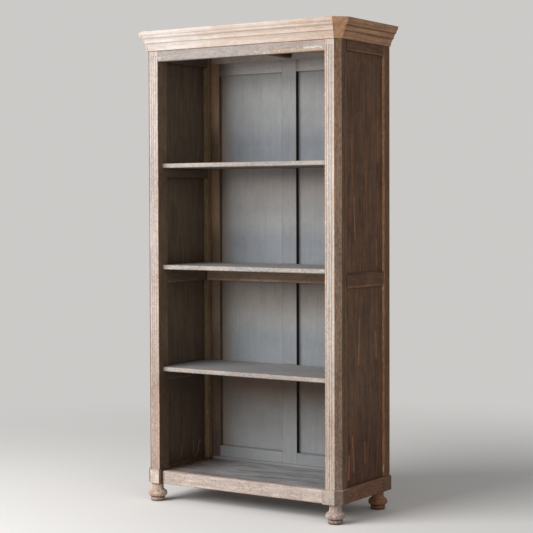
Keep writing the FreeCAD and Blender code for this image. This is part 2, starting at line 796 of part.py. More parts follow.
plinth_rail_front = front + size["plinth_rail_set_back"]
plinth_rail_y = (plinth_rail_front, plinth_rail_front + size["plinth_rail_thickness"])
plinth_front_z = (size["foot_height"], floor_top)
plinth_inner_x = (-block_x[0], block_x[0])
plinth_tenon_x = (block_x[0], block_x[0] + size["plinth_tenon_length"])
side_plinth_x = (panel_inner, block_x[1] - size["side_plinth_step"])
plinth_front_tenon = (
    plinth_tenon_x,
    middle(plinth_rail_y, size["tenon_thickness"]),
    shrunk(plinth_front_z, size["tenon_shoulder"]),
)
plinth_back_tenon = (
    plinth_tenon_x,
    middle(back_frame_y, size["tenon_thickness"]),
    shrunk(plinth_z, size["tenon_shoulder"]),
)
side_plinth_tenon_x = middle(side_plinth_x, size["tenon_thickness"])
side_plinth_tenon_z = shrunk(plinth_z, size["tenon_shoulder"])
side_plinth_tenon_front = (between_blocks[0] - size["plinth_tenon_length"], between_blocks[0])
side_plinth_tenon_rear = (between_blocks[1], between_blocks[1] + size["plinth_tenon_length"])


def dowel_hole(name, y):
    """The hole for a foot's dowel."""
    start = (foot_x, y, size["foot_height"] - overrun)
    depth = size["foot_dowel_length"] + gap + overrun
    return cylinder(name, size["foot_dowel_radius"] + gap, start, depth, FreeCAD.Vector(0, 0, 1))


def plinth_block(name, corners, cutters):
    """A block with a bevelled top edge, cut for its tenons and dowel."""
    body = document.addObject("PartDesign::Body", name + "_body")
    points = [(x, y, 0) for x, y in corners]
    sketch = outline(body, name + "_outline", "XY_Plane", points, plinth_z[0])
    raised = pad(body, sketch, size["plinth_height"])
    document.recompute()
    top = raised.Shape.BoundBox.ZMax
    tolerance = size["joint_gap"].number
    names = [
        f"Edge{index}"
        for index, edge in enumerate(raised.Shape.Edges, start=1)
        if edge.BoundBox.ZMin > top - tolerance
    ]
    bevel = body.newObject("PartDesign::Chamfer", name + "_bevel")
    bevel.Base = (raised, names)
    bind(bevel, "Size", size["block_bevel"])
    body.Tip = bevel
    return cut(name, body, cutters)


front_block_corners = (
    (block_x[0], front_block_y[0]),
    (block_x[1] - block_chamfer, front_block_y[0]),
    (block_x[1], front_block_y[0] + block_chamfer),
    (block_x[1], front_block_y[1]),
    (block_x[0], front_block_y[1]),
)
front_block_cutters = [
    dowel_hole("front_dowel_hole", foot_front_y),
    mortise("front_post_socket", (post_tenon_x, post_tenon_front, post_tenon_z)),
    mortise("plinth_front_mortise", plinth_front_tenon),
    mortise("side_plinth_front_mortise", (side_plinth_tenon_x, side_plinth_tenon_front, side_plinth_tenon_z)),
]
rear_block_corners = (
    (block_x[0], rear_block_y[0]),
    (block_x[1], rear_block_y[0]),
    (block_x[1], rear_block_y[1]),
    (block_x[0], rear_block_y[1]),
)
rear_block_cutters = [
    dowel_hole("rear_dowel_hole", foot_rear_y),
    mortise("rear_post_socket", (post_tenon_x, post_tenon_rear, post_tenon_z)),
    mortise("plinth_back_mortise", plinth_back_tenon),
    mortise("side_plinth_rear_mortise", (side_plinth_tenon_x, side_plinth_tenon_rear, side_plinth_tenon_z)),
]
node("plinth_block_front_right", plinth_block("front_block", front_block_corners, front_block_cutters))
node("plinth_block_front_left", mirrored("front_block_twin", parts["plinth_block_front_right"]))
node("plinth_block_rear_right", plinth_block("rear_block", rear_block_corners, rear_block_cutters))
node("plinth_block_rear_left", mirrored("rear_block_twin", parts["plinth_block_rear_right"]))

# Plinth rails, the front and back ones housed for the floor bearers
floor_low = floor_top - size["floor_thickness"]
floor_bearer_z = (floor_low - size["floor_bearer_height"], floor_low)
floor_bearer_y = grown((plinth_rail_y[1], back_frame_front), size["housing_depth"])
floor_bearers, floor_housings = [], []
for name, centre_x in (
    ("left", -size["floor_bearer_spacing"]),
    ("middle", zero),
    ("right", size["floor_bearer_spacing"]),
):
    bearer_span = (centre_x - size["floor_bearer_width"] / 2, centre_x + size["floor_bearer_width"] / 2)
    floor_bearers.append(box(f"floor_bearer_{name}", bearer_span, floor_bearer_y, floor_bearer_z))
    floor_housings.append(mortise(f"floor_housing_{name}", (bearer_span, floor_bearer_y, floor_bearer_z)))
node("floor_bearers", gather("floor_bearer_set", floor_bearers))

plinth_front_radii = (None, None, None, size["plinth_rail_edge_radius"])
plinth_front_parts = [
    strip_along_x("plinth_front_strip", plinth_inner_x, plinth_rail_y, plinth_front_z, plinth_front_radii),
    box("plinth_front_tenon_right", *plinth_front_tenon),
    box("plinth_front_tenon_left", across(plinth_front_tenon[0]), *plinth_front_tenon[1:]),
]
node("plinth_rail_front", cut("plinth_front", fuse("plinth_front_whole", plinth_front_parts), floor_housings))
plinth_back_parts = [
    box("plinth_back_board", plinth_inner_x, back_frame_y, plinth_z),
    box("plinth_back_tenon_right", *plinth_back_tenon),
    box("plinth_back_tenon_left", across(plinth_back_tenon[0]), *plinth_back_tenon[1:]),
]
node("plinth_rail_back", cut("plinth_back", fuse("plinth_back_whole", plinth_back_parts), floor_housings))
side_plinth_parts = [
    box("side_plinth_board", side_plinth_x, between_blocks, plinth_z),
    box("side_plinth_front_tenon", side_plinth_tenon_x, side_plinth_tenon_front, side_plinth_tenon_z),
    box("side_plinth_rear_tenon", side_plinth_tenon_x, side_plinth_tenon_rear, side_plinth_tenon_z),
]
side_plinth_groove = tongue_groove("side_plinth_groove", (plinth_top - groove_depth, plinth_top + overrun))
side_plinth_whole = fuse("side_plinth_whole", side_plinth_parts)
node("plinth_rail_right", cut("side_plinth", side_plinth_whole, [side_plinth_groove]))
node("plinth_rail_left", mirrored("side_plinth_twin", parts["plinth_rail_right"]))

# Bottom board inside the plinth, notched round the blocks
floor_reach = panel_inner - gap
floor_x = (-floor_reach, floor_reach)
floor_board = box("floor_board", floor_x, (plinth_rail_y[1], back_frame_front), (floor_low, floor_top))
floor_notch_x = (block_x[0] - gap, panel_inner + overrun)
floor_notch_z = grown((floor_low, floor_top), overrun)
floor_notches = [
    box("floor_front_notch", floor_notch_x, (front, front_block_y[1] + gap), floor_notch_z),
    box("floor_rear_notch", floor_notch_x, (rear_block_y[0] - gap, back), floor_notch_z),
]
floor_notches += [mirrored(notch.Name + "_twin", notch) for notch in floor_notches]
strip = size["floor_strip_size"]
strip_front = back_frame_front - strip
strip_low = floor_top - size["floor_strip_sink"]
strip_rebate_y = (strip_front, back_frame_front + overrun)
strip_rebate = box("floor_strip_rebate", floor_x, strip_rebate_y, (strip_low, floor_top + overrun))
node("bottom_board", cut("floor", floor_board, floor_notches + [strip_rebate]))

# Quarter-round strip along the back, let into the bottom board
strip_points = (
    (strip_front, strip_low, 0),
    (back_frame_front, strip_low, 0),
    (back_frame_front, floor_top + strip, -quarter_bulge_share),
    (strip_front, floor_top, 0),
)
strip_body = document.addObject("PartDesign::Body", "floor_strip")
strip_reach = block_x[0] - gap
strip_section = outline(strip_body, "floor_strip_section", "YZ_Plane", strip_points, -strip_reach)
pad(strip_body, strip_section, strip_reach * 2)
node("back_floor_strip", strip_body)


bulb_shoulder_z = (size["foot_bulb_height"] + size["foot_neck_height"]) / 2


def turned_foot(name, y):
    """A bun foot: ring, pinched waist, bulb and neck, with a dowel up into its block."""
    body = document.addObject("PartDesign::Body", name)
    top = size["foot_height"]
    dowel_top = top + size["foot_dowel_length"]
    points = (
        (zero, zero, 0),
        (size["foot_base_radius"], zero, -gentle_bulge_share),
        (size["foot_ring_radius"], size["foot_base_edge"], -corner_bulge_share),
        (size["foot_ring_radius"], size["foot_ring_height"], 0),
        (size["foot_pinch_radius"], size["foot_pinch_height"], -bulb_low_bulge_share),
        (size["foot_bulb_radius"], size["foot_bulb_height"], -bulb_high_bulge_share),
        ((size["foot_bulb_radius"] + size["foot_neck_radius"]) / 2, bulb_shoulder_z, neck_bulge_share),
        (size["foot_neck_radius"], size["foot_neck_height"], corner_bulge_share),
        (size["foot_neck_radius"], size["foot_collar_height"], neck_bulge_share),
        (size["foot_collar_radius"], top, 0),
        (size["foot_dowel_radius"], top, 0),
        (size["foot_dowel_radius"], dowel_top, 0),
        (zero, dowel_top, 0),
    )
    sketch = outline(body, name + "_profile", "XZ_Plane", points)
    turning = body.newObject("PartDesign::Revolution", name + "_turning")
    turning.Profile = sketch
    turning.ReferenceAxis = (sketch, ["V_Axis"])
    turning.Angle = 360
    bind(body, "Placement.Base.x", foot_x)
    bind(body, "Placement.Base.y", y)
    return body


for place, foot_y in (("front", foot_front_y), ("rear", foot_rear_y)):
    foot = node(f"foot_{place}_right", turned_foot(f"{place}_foot", foot_y))
    node(f"foot_{place}_left", mirrored(f"{place}_foot_twin", foot))

# Cornice
cornice_z = (case_top, size["total_height"])
corner_start = half - size["post_chamfer"]
corner_end = front + size["post_chamfer"]
moulding_back = -size["cornice_thickness"]


def front_mitre(projection):
    """Where the front face, moved out by this much, meets the chamfered corner."""
    return (corner_start + projection * mitre_share, front - projection)


def side_mitre(projection):
    """Where the side face, moved out by this much, meets the chamfered corner."""
    return (half + projection, corner_end - projection * mitre_share)


def moulded_profile(base, way):
    """The cornice section: its faces stand out from base along way, 1 or -1."""
    top = size["total_height"]
    steps = (
        ("lip", zero, 0),
        ("fascia", size["cornice_fascia_slope"], gentle_bulge_share / 2),
        ("quirk", size["cornice_quirk_width"], 0),
        ("ovolo", size["cornice_ovolo_width"], gentle_bulge_share),
        ("step", size["cornice_step_width"], 0),
        ("cove", size["cornice_cove_width"], -gentle_bulge_share / 2),
        ("fillet", size["cornice_fillet_width"], 0),
    )
    projection, level = size["cornice_projection"], top
    points = [(base + moulding_back * way, top, 0)]
    for name, inset, bulge_share in steps:
        points.append((base + projection * way, level, bulge_share * way))
        projection = projection - inset
        level = level - size[f"cornice_{name}_height"]
    points.append((base + projection * way, level, -gentle_bulge_share / 2 * way))
    points.append((base + size["cornice_foot_projection"] * way, case_top, 0))
    points.append((base + moulding_back * way, case_top, 0))
    return points


def plain_profile(way):
    """The plain section of the short corner piece."""
    top = size["total_height"]
    fascia_low = top - size["cornice_lip_height"] - size["cornice_fascia_height"]
    fascia_out = size["cornice_projection"] - size["cornice_fascia_slope"]
    return [
        (moulding_back * way, top, 0),
        (size["cornice_projection"] * way, top, 0),
        (size["cornice_projection"] * way, top - size["cornice_lip_height"], 0),
        (fascia_out * way, fascia_low, corner_bulge_share * -way),
        (size["cornice_foot_projection"] * way, case_top, 0),
        (moulding_back * way, case_top, 0),
    ]


outside = size["cornice_projection"] + overrun
inside = -size["cornice_thickness"] - overrun
front_out, front_in = front_mitre(outside), front_mitre(inside)
side_out, side_in = side_mitre(outside), side_mitre(inside)
cornice_cut_z = grown(cornice_z, overrun)
front_sector_corners = (
    (-front_out[0], front_out[1]),
    front_out,
    front_in,
    (-front_in[0], front_in[1]),
)
corner_sector_corners = (front_out, side_out, side_in, front_in)
side_sector_corners = (side_out, (side_out[0], back), (side_in[0], back), side_in)
front_sector = prism("front_sector", front_sector_corners, cornice_cut_z)
corner_sector = prism("corner_sector", corner_sector_corners, cornice_cut_z)
side_sector = prism("side_sector", side_sector_corners, cornice_cut_z)

front_length = document.addObject("PartDesign::Body", "cornice_front_length")
front_points = moulded_profile(front, -1)
front_profile = outline(front_length, "cornice_front_profile", "YZ_Plane", front_points, -front_out[0])
pad(front_length, front_profile, front_out[0] * 2)
node("cornice_front", common("cornice_front_mitred", front_length, front_sector))

side_length = document.addObject("PartDesign::Body", "cornice_side_length")
side_profile = outline(side_length, "cornice_side_profile", "XZ_Plane", moulded_profile(half, 1), -back)
pad(side_length, side_profile, back - side_out[1])
node("cornice_side_right", common("cornice_side_mitred", side_length, side_sector))
node("cornice_side_left", mirrored("cornice_side_twin", parts["cornice_side_right"]))

corner_length = document.addObject("PartDesign::Body", "cornice_corner_length")
corner_length.Placement.Rotation = FreeCAD.Rotation(FreeCAD.Vector(0, 0, 1), 45)
bind(corner_length, "Placement.Base.x", half - size["post_chamfer"] / 2)
bind(corner_length, "Placement.Base.y", front + size["post_chamfer"] / 2)
corner_reach = size["post_chamfer"] + outside
corner_points = plain_profile(-1)
corner_profile = outline(corner_length, "cornice_corner_profile", "YZ_Plane", corner_points, -corner_reach)
pad(corner_length, corner_profile, corner_reach * 2)
node("cornice_corner_right", common("cornice_corner_mitred", corner_length, corner_sector))
node("cornice_corner_left", mirrored("cornice_corner_twin", parts["cornice_corner_right"]))

ring_inner_x = half - size["cornice_thickness"]
ring_inner_back = back - size["cornice_thickness"]
cornice_back_x = (-ring_inner_x, ring_inner_x)
node("cornice_back", box("cornice_back_board", cornice_back_x, (ring_inner_back, back), cornice_z))


def board_in_ring(name, z):
    """A board inside the cornice, clipped at its front corners."""
    reach = -size["cornice_thickness"] - gap
    corners = []
    for x, y in (front_mitre(reach), side_mitre(reach), (half + reach, ring_inner_back - gap)):
        corners.append((x, y))
    left = [(-x, y) for x, y in reversed(corners)]
    return prism(name, corners + left, z)


ceiling_top = case_top + size["ceiling_thickness"]
cover_low = size["total_height"] - size["cover_thickness"]
node("ceiling_board", board_in_ring("ceiling", (case_top, ceiling_top)))
node("cover_board", board_in_ring("cover", (cover_low, size["total_height"])))

# Glue blocks: between ceiling and cover inside the cornice, and in the top corners behind the frieze
block_side = size["glue_block_side"]
ring_front = front + size["cornice_thickness"]
ring_block_z = (ceiling_top, cover_low)
side_block_x = (ring_inner_x - block_side, ring_inner_x)
mid_block_x = (-block_side / 2, block_side / 2)
front_mid_y = (ring_front, ring_front + block_side)
rear_mid_y = (ring_inner_back - block_side, ring_inner_back)
front_side_y = (ring_front + block_side, ring_front + block_side * 2)
case_block_x = (inner - block_side, inner)
case_block_y = (frieze_y[1], frieze_y[1] + block_side)
case_block_z = (case_top - size["bearer_height"], case_top)
glue_blocks_right = gather(
    "glue_blocks_right",
    [
        box("ring_block_front", side_block_x, front_side_y, ring_block_z),
        box("ring_block_rear", side_block_x, rear_mid_y, ring_block_z),
        box("case_block", case_block_x, case_block_y, case_block_z),
    ],
)
glue_blocks_middle = [
    box("ring_block_front_middle", mid_block_x, front_mid_y, ring_block_z),
    box("ring_block_rear_middle", mid_block_x, rear_mid_y, ring_block_z),
]
glue_blocks_left = mirrored("glue_blocks_left", glue_blocks_right)
node("glue_blocks", gather("glue_block_set", [glue_blocks_right, glue_blocks_left] + glue_blocks_middle))

# Check every object, then write every sub-part
document.recompute()
for thing in document.Objects:
    if "Invalid" in thing.State or "Error" in thing.State:
        raise ValueError(f"{thing.Name} failed: {thing.State}")
for name, thing in parts.items():
    if thing.Label != name or thing.Shape.isNull() or not thing.Shape.isValid():
        raise ValueError(f"{name} has no valid shape of its own name")
os.makedirs("parts", exist_ok=True)
for name, thing in parts.items():
    thing.Shape.exportStep(f"parts/{name}.step")
print(len(parts), "sub-parts written")
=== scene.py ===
"""Looks, light and camera of a tall open bookcase in worn paint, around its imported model."""
import math
import zlib
from functools import cached_property

import bpy
from mathutils import Matrix, Vector


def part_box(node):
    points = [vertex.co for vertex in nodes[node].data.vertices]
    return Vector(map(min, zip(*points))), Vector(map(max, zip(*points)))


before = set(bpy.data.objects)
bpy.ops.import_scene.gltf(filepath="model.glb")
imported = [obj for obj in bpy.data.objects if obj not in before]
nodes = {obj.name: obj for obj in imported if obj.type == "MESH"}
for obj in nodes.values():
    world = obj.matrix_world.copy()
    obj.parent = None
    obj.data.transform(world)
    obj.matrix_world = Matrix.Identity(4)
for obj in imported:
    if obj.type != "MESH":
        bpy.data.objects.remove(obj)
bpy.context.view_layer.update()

# Axes, and the two ends of a piece along one
X, Y, Z = 0, 1, 2
LOW, HIGH = 0, 1

# The camera at the photograph's viewpoint: metres, radians, and millimetres of lens and sensor
PICTURE_PIXELS = 533
SHIFT_PIXELS = -20
CAMERA_PLACE = (3.4559, -5.2455, 1.2779)
CAMERA_YAW, CAMERA_PITCH, CAMERA_ROLL = 0.5807, -0.0297, -0.0029
CAMERA_LENS, CAMERA_SENSOR = 100.964, 36.0


def end_of(node, end, axis):
    """Where a piece begins or ends along an axis, in metres."""
    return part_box(node)[end][axis]


def srgb(red, green, blue):
    """A colour given as it looks on screen, 0 to 255, for a shader."""
    out = []
    for value in (red, green, blue):
        share = value / 255
        out.append(share / 12.92 if share <= 0.04045 else ((share + 0.055) / 1.055) ** 2.4)
    return (*out, 1.0)


# The second tone of a pair, as a share of the first
SECOND_TONE_SHARE = 0.94


def pair(*tone):
    """A tone of paint and the slightly darker one that it wanders to."""
    return srgb(*tone), srgb(*[value * SECOND_TONE_SHARE for value in tone])


# Single colours: dirt and painted shade in hollows and under parts, worn lines and chips,
# and what the wood's grain multiplies by
DIRT_AND_SHADE = srgb(70, 48, 34)
CHIP = srgb(214, 208, 200)
WORN = srgb(190, 156, 124)
WORN_DIM = srgb(150, 122, 97)
WORN_RED = srgb(152, 104, 76)
WORN_TAN = srgb(160, 118, 88)
FLECK = srgb(232, 226, 221)
PORE = (0.55, 0.48, 0.42, 1.0)
GRAIN = (0.62, 0.55, 0.50, 1.0)

# Two tones each, between which paint or wood wanders
RAW = (srgb(194, 152, 119), srgb(172, 130, 98))
TAN = (srgb(178, 136, 106), srgb(150, 110, 82))
RUST = (srgb(166, 108, 72), srgb(134, 86, 58))
TAUPE = (srgb(112, 84, 64), srgb(92, 68, 52))
GREY = (srgb(160, 160, 160), srgb(150, 151, 152))
UMBER = (srgb(84, 63, 48), srgb(66, 49, 38))
# Near-black, a painted shadow for narrow gaps
SHADOW_BLACK = (srgb(50, 40, 33), srgb(40, 31, 26))

# How far a mark's border wanders, in widths of the mark
MARK_WANDER = 9.0


class Graph:
    """The node tree of one material or world, with short calls for the nodes it needs."""

    def __init__(self, owner):
        owner.use_nodes = True
        self.owner = owner
        self.tree = owner.node_tree
        self.tree.nodes.clear()

    @cached_property
    def place(self):
        return self.add("ShaderNodeTexCoord").outputs

    def add(self, kind, **settings):
        made = self.tree.nodes.new(kind)
        for key, value in settings.items():
            setattr(made, key, value)
        return made

    def feed(self, socket, value):
        if isinstance(value, bpy.types.NodeSocket):
            self.tree.links.new(value, socket)
        else:
            socket.default_value = value

    def math(self, operation, *values):
        made = self.add("ShaderNodeMath", operation=operation)
        for socket, value in zip(made.inputs, values):
            self.feed(socket, value)
        return made.outputs[0]

    def fold(self, operation, *values):
        """The operation on the first two values, then on that and the next, and so on."""
        total = values[0]
        for value in values[1:]:
            total = self.math(operation, total, value)
        return total

    def add_up(self, *values):
        return self.fold("ADD", *values)

    def times(self, *values):
        return self.fold("MULTIPLY", *values)

    def most(self, *values):
        return self.fold("MAXIMUM", *values)

    def less(self, first, second):
        return self.math("SUBTRACT", first, second)

    def invert(self, value):
        return self.less(1.0, value)

    def vector(self, operation, *values):
        made = self.add("ShaderNodeVectorMath", operation=operation)
        for socket, value in zip(made.inputs, values):
            self.feed(socket, value)
        return made.outputs["Value" if operation in ("DOT_PRODUCT", "LENGTH", "DISTANCE") else "Vector"]

    def split(self, value):
        made = self.add("ShaderNodeSeparateXYZ")
        self.feed(made.inputs[0], value)
        return made.outputs

    def step(self, value, low, high):
        """0 below low, 1 above high, smooth between, either way round."""
        made = self.add("ShaderNodeMapRange", interpolation_type="SMOOTHSTEP")
        self.feed(made.inputs["Value"], value)
        self.feed(made.inputs["From Min"], low)
        self.feed(made.inputs["From Max"], high)
        return made.outputs[0]

    def blend(self, share, first, second):
        made = self.add("ShaderNodeMix", data_type="FLOAT")
        self.feed(made.inputs[0], share)
        self.feed(made.inputs[2], first)
        self.feed(made.inputs[3], second)
        return made.outputs[0]

    def mix(self, share, first, second, kind="MIX"):
        made = self.add("ShaderNodeMix", data_type="RGBA", blend_type=kind)
        self.feed(made.inputs[0], share)
        self.feed(made.inputs[6], first)
        self.feed(made.inputs[7], second)
        return made.outputs[2]

    def shade(self, share, colour, tint):
        """The colour times tint, as far as share says."""
        return self.mix(share, colour, tint, "MULTIPLY")

    def noise(self, cells, offset, detail, rough, bend):
        """Noise with this many cells per metre along each axis."""
        mapping = self.add("ShaderNodeMapping", vector_type="POINT")
        self.feed(mapping.inputs["Vector"], self.place["Object"])
        mapping.inputs["Location"].default_value = offset
        mapping.inputs["Scale"].default_value = cells
        made = self.add("ShaderNodeTexNoise", noise_dimensions="3D")
        self.feed(made.inputs["Vector"], mapping.outputs[0])
        made.inputs["Scale"].default_value = 1.0
        made.inputs["Detail"].default_value = detail
        made.inputs["Roughness"].default_value = rough
        made.inputs["Distortion"].default_value = bend
        return made.outputs[0]

    def line(self, start, end, width, ragged):
        """1 near the straight line from start to end, with a ragged border."""
        start, reach = Vector(start), Vector(end) - Vector(start)
        offset = self.vector("SUBTRACT", self.place["Object"], start)
        share = self.times(self.vector("DOT_PRODUCT", offset, reach), 1 / reach.length_squared)
        share = self.most(self.math("MINIMUM", share, 1.0), 0.0)
        nearest = self.add("ShaderNodeVectorMath", operation="SCALE")
        nearest.inputs[0].default_value = reach
        self.feed(nearest.inputs["Scale"], share)
        away = self.vector("DISTANCE", offset, nearest.outputs[0])
        away = self.add_up(away, self.times(self.less(ragged, 0.5), MARK_WANDER * width))
        return self.step(away, width, width / 2)

    def either(self, share, first, second):
        """The first shader, or the second as far as share says."""
        made = self.add("ShaderNodeMixShader")
        for socket, value in zip(made.inputs, (share, first, second)):
            self.feed(socket, value)
        return made.outputs[0]

    def surface(self, shader):
        """Makes the shader what the material or world shows."""
        kind = "World" if isinstance(self.owner, bpy.types.World) else "Material"
        self.feed(self.add("ShaderNodeOutput" + kind).inputs["Surface"], shader)


def along(grain, fine, long):
    """Cells per metre: fine across the grain, long along it."""
    return tuple(long if axis == grain else fine for axis in range(3))


# How far the border of a zone wanders, as a share of the piece
ZONE_WANDER_SHARE = 0.12

# Zones by the way a surface faces: outwards from the middle, back or up, where each begins and is full
FACINGS = {
    "outer": (("out", 0.72, 0.9),),
    "inner": (("out", -0.72, -0.9),),
    "rear": (("back", 0.5, 0.8),),
    "front": (("back", -0.72, -0.9),),
    "top": (("up", 0.6, 0.9),),
    "under": (("up", -0.6, -0.9),),
    "chamfer": (("out", 0.5, 0.65), ("back", -0.5, -0.65)),
}


class Spot:
    """Where a point of the surface is, in metres and as a share of its piece, and which way it faces.

    X, Y and Z are exact shares of the piece, W is the share outwards on a piece of one side, and H is the
    height above the floor in metres. x, y, z and w are the same shares, wandering by the ragged noise.
    """

    def __init__(self, g, name, ragged):
        place = g.split(g.place["Object"])
        normal = g.split(g.place["Normal"])
        low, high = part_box(name)
        size = high - low
        wander = g.times(g.less(ragged, 0.5), ZONE_WANDER_SHARE)
        self.graph = g
        out = g.times(normal[X], g.math("SIGN", place[X]))
        self.facing = {"out": out, "back": normal[Y], "up": normal[Z]}
        self.shares = {}
        for axis, letter in enumerate("XYZ"):
            self.shares[letter] = g.math("DIVIDE", g.less(place[axis], low[axis]), size[axis])
        inside = max(low[X], -high[X])
        self.shares["W"] = g.math("DIVIDE", g.less(g.math("ABSOLUTE", place[X]), inside), size[X])
        for letter in "XYZW":
            self.shares[letter.lower()] = g.add_up(self.shares[letter], wander)
        self.shares["H"] = place[Z]

    def zone(self, part):
        """1 in the part: the name of a facing, or a letter with where the part begins and is full."""
        g = self.graph
        if part in FACINGS:
            return g.times(*[g.step(self.facing[way], start, full) for way, start, full in FACINGS[part]])
        letter, start, full = part
        return g.step(self.shares[letter], start, full)


# Usual amounts: bare wood in patches, in long streaks, in fine lines and along edges, dirt and painted
# shade in hollows, uneven brightness, pale flecks and dark pits
USUAL = {
    "rub": 0.1, "streak": 0.0, "thin": 0.25, "edge": 0.5, "dirt_and_shade": 0.6, "mottle": 0.8,
    "fleck": 0.0, "pit": 0.15,
}

# Noise layers: cells per metre across and along the grain, then detail, roughness and distortion
LAYERS = {
    "cloud": ((6.0, 6.0), 3.0, 0.55, 0.0),
    "blotch": ((26.0, 26.0), 6.0, 0.62, 0.0),
    "brush": ((110.0, 5.0), 4.0, 0.6, 0.0),
    "veil": ((230.0, 7.0), 3.0, 0.6, 0.2),
    "fine": ((420.0, 14.0), 4.0, 0.65, 0.0),
    "streak": ((60.0, 4.0), 6.0, 0.75, 0.3),
    "mottle": ((150.0, 55.0), 5.0, 0.7, 0.0),
    "grit": ((290.0, 130.0), 3.0, 0.6, 0.0),
}

# Sums of layers, each with its weight
SUMS = {
    "tone": (("cloud", 0.4), ("brush", 0.35), ("blotch", 0.25)),
    "ragged": (("blotch", 0.5), ("brush", 0.3), ("mottle", 0.2)),
    "mark": (("mottle", 0.5), ("grit", 0.5)),
    "relief": (("brush", 0.5), ("fine", 0.35), ("mottle", 0.4)),
}

# From where to where a layer, a sum or an angle grows from nothing to its full effect
SPANS = {
    "tone": (0.38, 0.62), "wood": (0.3, 0.7), "pore": (0.5, 0.75), "grain": (0.48, 0.30),
    "turn": (0.015, 0.16), "closed": (0.85, 0.35), "kept": (0.38, 0.58),
    "edge": (0.66, 0.80), "rub": (0.76, 0.88), "streak": (0.76, 0.90), "thin": (0.48, 0.66),
    "fleck": (0.56, 0.68), "pit": (0.44, 0.32),
}

# Each piece has its own place in the noise: steps per seed and the range that they wrap round in, per axis
SEEDS = 97
SHIFTS = ((0.618, 7.0), (0.414, 5.0), (0.732, 6.0))

# How strongly streaks gather in clusters, how far they bare the wood, and how much of a mark always stays
STREAK_CLUSTER, STREAK_STRENGTH, MARK_KEPT = 0.3, 0.8, 0.5
EDGE_WIDTH, EDGE_SAMPLES = 0.004, 6
# How far dirt and painted shade spread out of a hollow, in metres, and the samples that find the hollow
DIRT_AND_SHADE_REACH, DIRT_AND_SHADE_SAMPLES = 0.012, 8
GRAIN_DARK = 0.25
ROUGHNESS, SPECULAR = (0.62, 0.85), 0.3
BUMP_STRENGTH, BUMP_DEPTH = 0.35, 0.0012


def noise_layers(g, name, look, grain):
    """The noises of one piece, by name."""
    seed = zlib.crc32(name.encode()) % SEEDS
    shift = tuple(seed * step % reach for step, reach in SHIFTS)
    layer = {}
    for key, (cells, *character) in LAYERS.items():
        layer[key] = g.noise(along(grain, *look.get(key + "_cells", cells)), shift, *character)
    layer["streak"] = g.add_up(layer["streak"], g.times(g.less(layer["cloud"], 0.5), STREAK_CLUSTER))
    for key, parts in SUMS.items():
        layer["sum_" + key] = g.add_up(*[g.times(layer[part], weight) for part, weight in parts])
    return layer


def zoned(g, name, look, layer):
    """Paint and wood in two tones each, and the amounts of wear, as the zones of the piece change them."""
    tone = g.step(layer["sum_tone"], *SPANS["tone"])
    tone_wood = g.step(layer["brush"], *SPANS["wood"])
    paint = g.mix(tone, *look["paint"])
    wood = g.mix(tone_wood, *look["wood"])
    amounts = {key: look.get(key, usual) for key, usual in USUAL.items()}
    spot = Spot(g, name, layer["blotch"])
    for parts, change in look.get("zones", ()):
        mask = g.times(*[spot.zone(part) for part in parts])
        if "paint" in change:
            paint = g.mix(mask, paint, g.mix(tone, *change["paint"]))
        if "wood" in change:
            wood = g.mix(mask, wood, g.mix(tone_wood, *change["wood"]))
        for key in USUAL:
            if key in change:
                amounts[key] = g.blend(mask, amounts[key], change[key])
    return paint, g.shade(g.step(layer["fine"], *SPANS["pore"]), wood, PORE), amounts


def corners(g, look):
    """How sharply the surface turns at an edge, and how far a hollow closes round it."""
    bevel = g.add("ShaderNodeBevel", samples=EDGE_SAMPLES)
    bevel.inputs["Radius"].default_value = look.get("edge_width", EDGE_WIDTH)
    facing = g.add("ShaderNodeNewGeometry").outputs["Normal"]
    turn = g.invert(g.vector("DOT_PRODUCT", bevel.outputs[0], facing))
    hollow = g.add("ShaderNodeAmbientOcclusion", samples=DIRT_AND_SHADE_SAMPLES)
    hollow.inputs["Distance"].default_value = look.get("dirt_and_shade_reach", DIRT_AND_SHADE_REACH)
    return g.step(turn, *SPANS["turn"]), g.step(hollow.outputs["AO"], *SPANS["closed"])


def bare_wood(g, layer, edge, amounts):
    """Where the wood shows: along edges, in patches, in long streaks and in fine lines."""
    ragged = layer["sum_ragged"]
    streak = g.step(g.add_up(layer["streak"], amounts["streak"]), *SPANS["streak"])
    return g.most(
        g.step(g.add_up(edge, ragged), *SPANS["edge"]),
        g.step(g.add_up(ragged, amounts["rub"]), *SPANS["rub"]),
        g.times(streak, STREAK_STRENGTH),
        g.times(g.step(layer["veil"], *SPANS["thin"]), amounts["thin"]),
    )


def marked(g, name, layer, colour):
    """The colour with the scratches, worn lines and chips of the piece."""
    kept = g.add_up(g.times(g.step(layer["brush"], *SPANS["kept"]), 1 - MARK_KEPT), MARK_KEPT)
    for piece, end, axis, offset, marks in MARKS:
        if piece == name:
            level = end_of(name, end, axis) + offset
            for start, stop, width, tone in marks:
                points = [(*point[:axis], level, *point[axis:]) for point in (start, stop)]
                line = g.line(*points, width, layer["sum_mark"])
                colour = g.mix(g.times(line, kept), colour, tone)
    return colour


